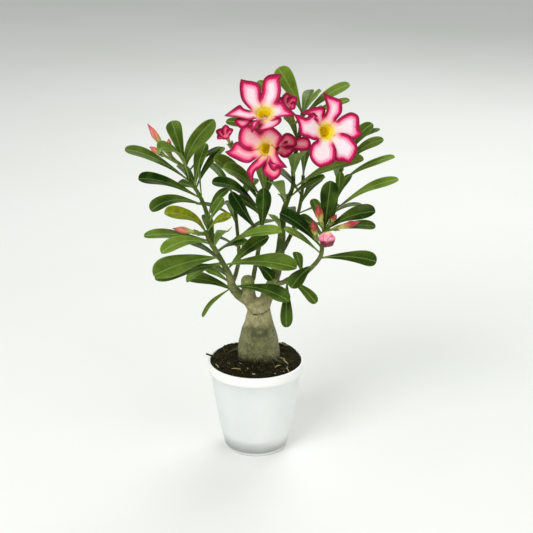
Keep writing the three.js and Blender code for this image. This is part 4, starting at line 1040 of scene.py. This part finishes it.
BLOOMS["bloom_2"] = dict(
    branch="mid", calyx=(12, -7, 309), throat=(10.5, -34, 328), axis=(-0.45, -0.84, 0.3),
    blush=0.8, **WIDE_OPEN,
    petals=[
        sheet([(5, 2.5), (10.5, 1.5), (14.5, 4), (17, 9), (18, 14)],
              [(-4, 6), (-6, 12), (-5, 16), (0, 19.5), (6.5, 20.5), (12.5, 18)]),
        sheet([(-4, 6), (-6.5, 13), (-10, 16.5), (-16, 19), (-21, 19), (-25, 16)],
              [(-8.5, -2), (-14, -4), (-20.5, -3), (-25.5, 2), (-26.5, 9.5)]),
        sheet([(-8.5, -1), (-17.5, -1.5), (-26.5, 2.5), (-30, 0.5), (-33, -5.5), (-38.5, -9)],
              [(-4, -9), (-7.5, -12.5), (-11.5, -16), (-18, -16.5), (-25.5, -14.5), (-33, -12)]),
        sheet([(-5.5, -9.5), (-10.5, -16), (-13, -21), (-13.5, -24.5), (-10, -28.5), (-7, -32.5),
               (-4.5, -35)],
              [(4.5, -9), (3.5, -16), (0, -20), (-3.5, -22.5), (-4.5, -26.5), (-4, -31.5)]),
        sheet([(1, -8.5), (6.5, -14.5), (12, -19.5), (15.5, -20), (18, -16.5), (22.5, -16.5), (29.5, -15.5)],
              [(5, 3.5), (10.5, 1), (15, -3), (21, -8.5), (26.5, -12.5)]),
        sheet([(0.5, -11.5), (0.5, -19), (2.5, -23.5), (9.5, -27.5), (15, -29)],
              [(10.5, -12), (19.5, -15), (22.5, -18), (22.5, -23), (19, -27)], back=3),
    ],
)
BLOOMS["bloom_3"] = dict(
    branch="centre", calyx=(54, -2, 331), throat=(67, -30, 343), axis=(0.4, -0.85, 0.34),
    blush=0.1, **WIDE_OPEN,
    petals=[
        sheet([(8.5, 6), (12, 10.5), (16, 15), (17, 22), (16.5, 27), (12, 29.5), (5, 32.5), (-1.5, 36)],
              [(-5.5, 6.5), (-3, 13.5), (0.5, 20.5), (-1, 26), (-1.5, 30.5)]),
        sheet([(6.5, -7), (13, -9), (20, -11), (25, -11.5), (29, -9.5), (32, -8), (33, -5.5)],
              [(7.5, 7), (16, 12.5), (24.5, 14.5), (31.5, 10), (31.5, 2.5), (31, -2.5)]),
        sheet([(-0.5, -7), (-0.5, -15), (0, -23), (2, -28), (5.5, -30.5), (8.5, -29.5), (11.5, -31.5),
               (15, -33)],
              [(7, -5), (12.5, -3), (19, -6), (23.5, -12.5), (26, -18.5), (23.5, -25), (18, -31)]),
        sheet([(-9.5, -6.5), (-18.5, -9.5), (-23, -15), (-24.5, -21.5), (-22.5, -27.5), (-19, -31.5),
               (-16, -33.5)],
              [(2.5, -7.5), (4, -12.5), (4.5, -18), (2.5, -24.5), (0, -29), (-6.5, -32)]),
        sheet([(-5, 7.5), (-7, 13), (-13, 18.5), (-21.5, 14.5), (-28, 17), (-35.5, 19)],
              [(-8, -6.5), (-17, -7.5), (-24.5, -4.5), (-31, -2), (-32, 2.5), (-32, 8), (-33.5, 14)]),
        sheet([(-1, 12.5), (0.5, 21.5), (-7.5, 23.5), (-16.5, 22.5), (-23, 20.5), (-27.5, 19)],
              [(-7.5, 7.5), (-16, 14.5), (-24.5, 18)], back=2),
    ],
)
BLOOMS["bloom_4"] = dict(
    branch="centre", calyx=(36, -3, 345), throat=(31.5, -9, 363), axis=(-0.1, -0.75, 0.65),
    mouth=3.4, reach=7, rise=7, blush=1, petals=ring_of(7, 10, 3.4),
)
BLOOMS["bloom_5"] = dict(
    branch="mid", calyx=(21, 8, 312), throat=(21, -11, 322), axis=(0.1, -0.95, 0.3),
    mouth=4.5, reach=16, rise=5, blush=1,
    petals=[
        sheet([(3.5, -1.5), (11, -0.5), (15.5, -0.5), (19, 2)],
              [(1.5, 4.5), (4.5, 11), (9, 14), (15, 12), (18.5, 7.5)]),
        sheet([(0.5, -3), (3, -8), (7.5, -10), (13.5, -6.5), (17, -2)],
              [(4.5, 1.5), (10, 1), (14.5, 0.5)]),
        sheet([(7.5, -2.5), (17.5, -3), (25.5, -3.5), (31, -2.5), (33.5, 2.5)],
              [(7.5, 6), (17, 8.5), (25.5, 10), (31.5, 8)], back=3),
        sheet([(-1, 4), (-3, 7), (-6, 9)],
              [(-5, 0.5), (-7, 4)]),
        sheet([(-4.5, -1), (-5, -3.5), (-2.5, -6.5)],
              [(-1, -3.5), (-0.5, -5)]),
    ],
)
BLOOMS["bloom_6"] = dict(
    branch="mid", calyx=(-22, 6, 318), throat=(-28, 0, 331), axis=(-0.3, -0.6, 0.75),
    mouth=3, reach=7, rise=6, blush=1, petals=ring_of(6.5, 7.5, 3),
)

petal_skin = Finish(
    "petal", Roughness=0.55, Specular_IOR_Level=0.2, Subsurface_Weight=0.25, Subsurface_Scale=0.002
)
across, from_mouth, inset = painted(petal_skin, "spot")
blush, tube_share, face = painted(petal_skin, "look")
cloud = petal_skin.grain(90, 3)
streak = petal_skin.grain(420, 2).step(0.3, 0.7)
ray = (across * 2.6 + cloud * 5).math("SINE") * 0.5 + 0.5
depth = inset + (cloud - 0.5) * 1.6 + ray * 0.35
front_side = face.step(-0.2, 0.2)
white = blush.between((1.0, 0.9, 0.92), (0.99, 0.72, 0.74))
pink = blush.between((1.0, 0.62, 0.74), (0.98, 0.42, 0.54))
petal_skin.tone = depth.step(8.0, 4.3).between(white, pink)
petal_skin.coat(depth.step(4.6, 3.2), (0.93, 0.2, 0.47))
petal_skin.coat(depth.step(3.7, 2.4), (0.7, 0.0, 0.31))
petal_skin.coat(depth.step(2.5, 0.9), (0.5, 0.0, 0.19))
outside = depth.step(6, 1.5).between((0.95, 0.62, 0.68), (0.62, 0.04, 0.24))
petal_skin.coat(1 - front_side, outside)
petal_skin.coat(ray * streak * 0.1, (0.9, 0.35, 0.5))
open_throat = blush.step(0.98, 0.88)
gold = (streak * 0.5).between((0.95, 0.83, 0.1), (0.87, 0.75, 0.04))
glow = front_side * open_throat * (1 - blush * 0.45)
petal_skin.coat(from_mouth.step(7.5, 1.5) * glow * 0.5, (1.0, 0.86, 0.62))
petal_skin.coat(from_mouth.step(4.4, -1.2) * glow, gold)
tube_tone = tube_share.step(0.25, 0.95).between((0.72, 0.72, 0.3), (0.93, 0.62, 0.6))
inner_tone = open_throat.between((0.95, 0.4, 0.52), (0.96, 0.87, 0.07))
tube_tone = front_side.between(tube_tone, inner_tone)
petal_skin.coat(tube_share.step(0.001, 0.002), tube_tone)
petal_skin.feed(Roughness=streak * 0.15 + 0.45)
petal_skin.bump(ray * 0.5 + cloud * 0.5, 0.00025)

sepal_skin = Finish("calyx", Roughness=0.5)
sepal_blotch = sepal_skin.grain(180, 3).step(0.35, 0.65)
sepal_skin.feed(Base_Color=sepal_blotch.between((0.36, 0.48, 0.12), (0.56, 0.6, 0.26)))
sepal_skin.bump(sepal_skin.grain(500, 3), 0.0002)

PETAL_COLUMNS = (-1, -0.96, -0.86, -0.7, -0.5, -0.25, 0, 0.25, 0.5, 0.7, 0.86, 0.96, 1)
PETAL_STATIONS = 26
HEM_STEPS = 28
PETAL_END = 0.996
PETAL_THICK, PETAL_EDGE = 0.4, 0.15
FRONT_LIFT = 1.3
ROOTED_WITHIN = 5
TUBE_SIDES = 40
TUBE_ROWS = 22
TUBE_WALL = 0.7
CUP_DEPTH = 2.3
STALK_START = 0.985


def bloom_frame(axis):
    """The ways forwards, up and right as seen from the front of a bloom."""
    front = Vector(axis).normalized()
    up = (UP - front * UP.dot(front)).normalized()
    return front, up, up.cross(front)


def petal(skin, draw, bloom, shape):
    """A thin waved sheet between two margins; its counter-clockwise side lies over its neighbour."""
    front, up, right = bloom_frame(bloom["axis"])
    throat, mouth = Vector(bloom["throat"]), bloom["mouth"]
    sides = [Line.through([(x, y, 0) for x, y in line]) for line in shape["margins"]]
    hem = [side.at(k / HEM_STEPS) for side in sides for k in range(HEM_STEPS + 1)]
    scale = bloom["reach"] / WIDE_OPEN["reach"]
    hem = [(spot, 0.8 * max(0, mouth + 8 * scale - spot.length)) for spot in hem]
    finer = scale**-0.25
    wave, phase = draw.uniform(0.5, 0.9) * scale, draw.uniform(0, 6)

    def place(flat, s, t):
        climb = max(0, (flat.length - mouth) / bloom["reach"])
        level = bloom["rise"] * climb * (2 - climb) + shape["rise"] * climb**2
        level -= shape["back"] * min(1, 0.1 + 2.5 * t)
        level += FRONT_LIFT * scale * s * (1 - t**3)
        level += wave * s * s * math.sin(7 * t + phase + 2.2 * s) * min(1, 3 * t) * (1 - t**4)
        level -= 1.1 * scale * (1 - s * s) * math.sin(math.pi * t)
        return throat + right * flat.x + up * flat.y + front * level

    rows = []
    for station in range(PETAL_STATIONS):
        t = min(PETAL_END, station / (PETAL_STATIONS - 1))
        low, high = (side.at(t) for side in sides)
        row = []
        for s in PETAL_COLUMNS:
            flat = low.lerp(high, (s + 1) / 2)
            inset = min((flat - spot).length + clear for spot, clear in hem)
            spot = (s * (high - low).length / 2, (flat.length - mouth) * finer, inset * finer)
            row.append((place(flat, s, t), spot))
        rows.append(row)
    if min(side.at(0).length for side in sides) < mouth + ROOTED_WITHIN:
        base = []
        for s in PETAL_COLUMNS:
            flat = sides[0].at(0).lerp(sides[1].at(0), (s + 1) / 2)
            flat = flat.normalized() * (mouth - 0.5)
            base.append((throat + right * flat.x + up * flat.y - front * 1.2, (s * 4, -0.5, 9)))
        rows.insert(0, base)
    rings, spots = [], []
    for i, row in enumerate(rows):
        before, after = rows[max(0, i - 1)], rows[min(len(rows) - 1, i + 1)]
        upper, lower = [], []
        for k, (point, _) in enumerate(row):
            along = after[k][0] - before[k][0]
            across = row[min(len(row) - 1, k + 1)][0] - row[max(0, k - 1)][0]
            normal = along.cross(across)
            normal = normal.normalized() if normal.length > 1e-6 else front
            thick = PETAL_EDGE if k in (0, len(row) - 1) else PETAL_THICK
            upper.append(point + normal * thick / 2)
            lower.append(point - normal * thick / 2)
        rings.append(upper[::-1] + lower)
        places = [spot for _, spot in row]
        spots.append(places[::-1] + places)
    look = (min(1, bloom["blush"] + 0.1 * shape["back"]), 0)
    skin.loft(rings, 0, spots, two_faced(look, len(PETAL_COLUMNS), len(rings)))


def tube_line(bloom):
    """The bent line of a bloom's tube and its first direction."""
    throat, calyx = Vector(bloom["throat"]), Vector(bloom["calyx"])
    front = Vector(bloom["axis"]).normalized()
    bend = throat - front * (throat - calyx).length / 2
    first = (bend - calyx).normalized()
    return calyx + first * CUP_DEPTH, bend, throat, first


def calyx(skin, owner, base, heading, cup_radius, sepals):
    """The stalk from the tip of its branch, the cup at its end and the five sepals round the cup."""
    start = BRANCHES[owner]["line"].at(STALK_START)
    base, heading = Vector(base), heading.normalized()
    handle = (base - start).length / 2.5
    path = Line.bezier(start, start + heading * handle / 3, base - heading * handle, base)
    rod(skin, path, lambda share, turn: 1.15 + 0.25 * share**3, 12, 16)
    cup = Line([base - heading * 1.2, base, base + heading * 1, base + heading * 2])
    rod(skin, cup, lambda share, turn: 1.4 + (cup_radius - 1.4) * min(1, 1.6 * share), 20, 8)
    across = heading.orthogonal().normalized()
    for turn in round_about(5):
        out = turn_about(across, heading, turn)
        side = heading.cross(out)
        rings = []
        for step in range(9):
            u = step / 8
            middle = base + heading * (0.4 + sepals * u) + out * (cup_radius * (0.72 + 0.42 * u))
            half = max(0.12, cup_radius * 0.62 * math.sin(math.pi * (0.25 + 0.75 * u)) ** 0.8)
            shares = (-1, -0.5, 0, 0.5, 1)
            outer = [middle + side * half * s + out * (0.3 - 0.35 * half * s * s) for s in shares]
            rings.append(outer + [spot - out * 0.5 for spot in reversed(outer)])
        skin.loft(rings, 0)


flower_stalks = Skin()
for name, bloom in BLOOMS.items():
    draw = random.Random(name)
    skin = Skin()
    base, bend, throat, first = tube_line(bloom)
    mouth = bloom["mouth"]
    line = Line.bezier(base, bend, throat, steps=40)

    def flute(share, turn):
        """The tube's radius, with five shallow ribs."""
        return mouth * (0.3 + 0.7 * share**1.7) * (1 + 0.025 * math.sin(5 * turn))

    outer, _ = sweep(line, 0, 1 - 0.9 / line.length, flute, TUBE_SIDES, TUBE_ROWS)
    inner = []
    for row in range(TUBE_ROWS, 12, -1):
        middle = line.at(row / TUBE_ROWS)
        inner.append([spot - (spot - middle).normalized() * TUBE_WALL for spot in outer[row]])
    looks = [(bloom["blush"], max(0.01, row / TUBE_ROWS), -1) for row in range(len(outer))]
    looks += [(bloom["blush"], 1 - row / TUBE_ROWS, 1) for row in range(len(inner))]
    skin.loft(outer + inner, 0, look=[[look] * TUBE_SIDES for look in looks])
    for shape in bloom["petals"]:
        petal(skin, draw, bloom, shape)
    finished(skin.piece(f"{name}_corolla", petal_skin), name, slot="corolla")
    calyx(flower_stalks, bloom["branch"], bloom["calyx"], first, cup_radius=3, sepals=6)
finished(flower_stalks.piece("flower_stalks", sepal_skin), slot="foliage")

# The anthers: five slender bristled tips that lean together in the mouth of each open bloom.
ANTHER_TURN = 0.12 * math.pi

anther = Finish("anthers", Roughness=0.6)
anther.feed(Base_Color=anther.grain(300, 2).between((0.98, 0.86, 0.14), (0.92, 0.76, 0.09)))
anther.bump(anther.grain(900, 2), 0.0002)
anther_skin = Skin()
for name in ("bloom_1", "bloom_2", "bloom_3"):
    bloom = BLOOMS[name]
    front, up, right = bloom_frame(bloom["axis"])
    throat = Vector(bloom["throat"])
    for a in round_about(5):
        out = right * math.cos(a + ANTHER_TURN) + up * math.sin(a + ANTHER_TURN)
        path = Line.through([
            throat + out * 4.2 - front * 8, throat + out * 2.8 - front * 5,
            throat + out * 1.2 - front * 3, throat + out * 1.3 - front * 1.4,
        ])
        rod(anther_skin, path, lambda share, turn: 0.6 * (1 - 0.75 * share), 8, 12)
finished(anther_skin.piece("anthers", anther), slot="corolla")


# ---- Buds ----
# Petals still furled in a spiral, yellow-green at the calyx and rose at the pointed tip, on short stalks
# in the leaf axils. The largest has begun to open and shows its crimson mouth.
BUDS = {
    "bud_1": ("left_high", (-87, 2, 316), (-103, -4, 344), 3.1),
    "bud_2": ("left_high", (-88, -8, 314), (-101, -14, 324), 2.6),
    "bud_3": ("left_high", (-83, 8, 313), (-84, 6, 327), 2.2),
    "bud_4": ("left", (-56, -16, 238), (-80, -24, 245), 3.2),
    "bud_5": ("right_low", (65, -17, 245), (60, -20, 268), 3.8),
    "bud_6": ("right_low", (60, -19, 232), (55, -24, 253), 3.1),
    "bud_7": ("right_low", (73, -14, 246), (79, -20, 258), 2.3),
    "bud_8": ("right_low", (77, -20, 243), (101, -30, 254), 3.1),
    "bud_9": ("right_low", (70, -21, 238), (69, -42, 236), 7.5),
}

OPENING_BUD = "bud_9"
TWIST = 2.2
BUD_ROWS = 24

furled = Finish("furled_petals", Roughness=0.45)
share, turn, _ = painted(furled, "spot")
opening, ripe, _ = painted(furled, "look")
freckle = furled.grain(260, 3).step(0.3, 0.7)
seam = abs((turn * 5 - share * TWIST).math("FRACT") - 0.5).step(0.36, 0.5)
base_tone = freckle.between((0.66, 0.72, 0.28), (0.78, 0.76, 0.42))
rose = ripe.between((0.9, 0.5, 0.42), freckle.between((0.78, 0.34, 0.26), (0.58, 0.14, 0.15)))
furled.tone = (share + freckle * 0.12).step(0.38, 0.66).between(base_tone, rose)
furled.coat(share.step(0.7, 1.0) * 0.7, (0.62, 0.1, 0.2))
furled.coat(seam * 0.5, (0.6, 0.14, 0.2))
unfurled = freckle.between((1.0, 0.72, 0.78), (0.98, 0.5, 0.62))
unfurled = seam.between(unfurled, (0.85, 0.12, 0.36))
furled.coat(opening * share.step(0.1, 0.3), unfurled)
level = furled.place.parts()[2] + (freckle - 0.5) * 0.002
furled.coat(opening * level.step(0.243, 0.2455), (0.93, 0.88, 0.6))
furled.coat(opening * level.step(0.2395, 0.2355), (0.46, 0.0, 0.14))
furled.bump((1 - seam) * 0.7 + freckle * 0.3, 0.0003)

bud_stalks = Skin()
for name, (owner, base, tip, radius) in BUDS.items():
    base, tip = Vector(base), Vector(tip)
    front = (tip - base).normalized()
    shares = [k / BUD_ROWS for k in range(BUD_ROWS + 1)]
    line = Line([base + (tip - base) * share + front * CUP_DEPTH * (1 - share) for share in shares])
    opening = 1 if name == OPENING_BUD else 0
    ripe = 1 if owner == "right_low" else 0

    def furl(share, turn):
        """The bud's radius: a spindle with five overlapping spiral edges."""
        spindle = (0.5 + 0.95 * math.sin(math.pi * share**1.4)) * (1 - 0.75 * share**4) * 0.8
        ridge = ((turn * 5 / (2 * math.pi) - share * TWIST) % 1) ** 2
        return max(0.25, radius * spindle * (0.93 + 0.13 * ridge))

    rings, spots = sweep(line, 0, 1, furl, 60, 30)
    skin = Skin()
    skin.loft(rings, 0, spots, (opening, ripe, 0))
    finished(skin.piece(f"{name}_furled", furled), name, slot="bud")
    calyx(bud_stalks, owner, base, tip - base, cup_radius=2.4, sepals=9 if name == OPENING_BUD else 5)
finished(bud_stalks.piece("bud_stalks", sepal_skin), slot="foliage")
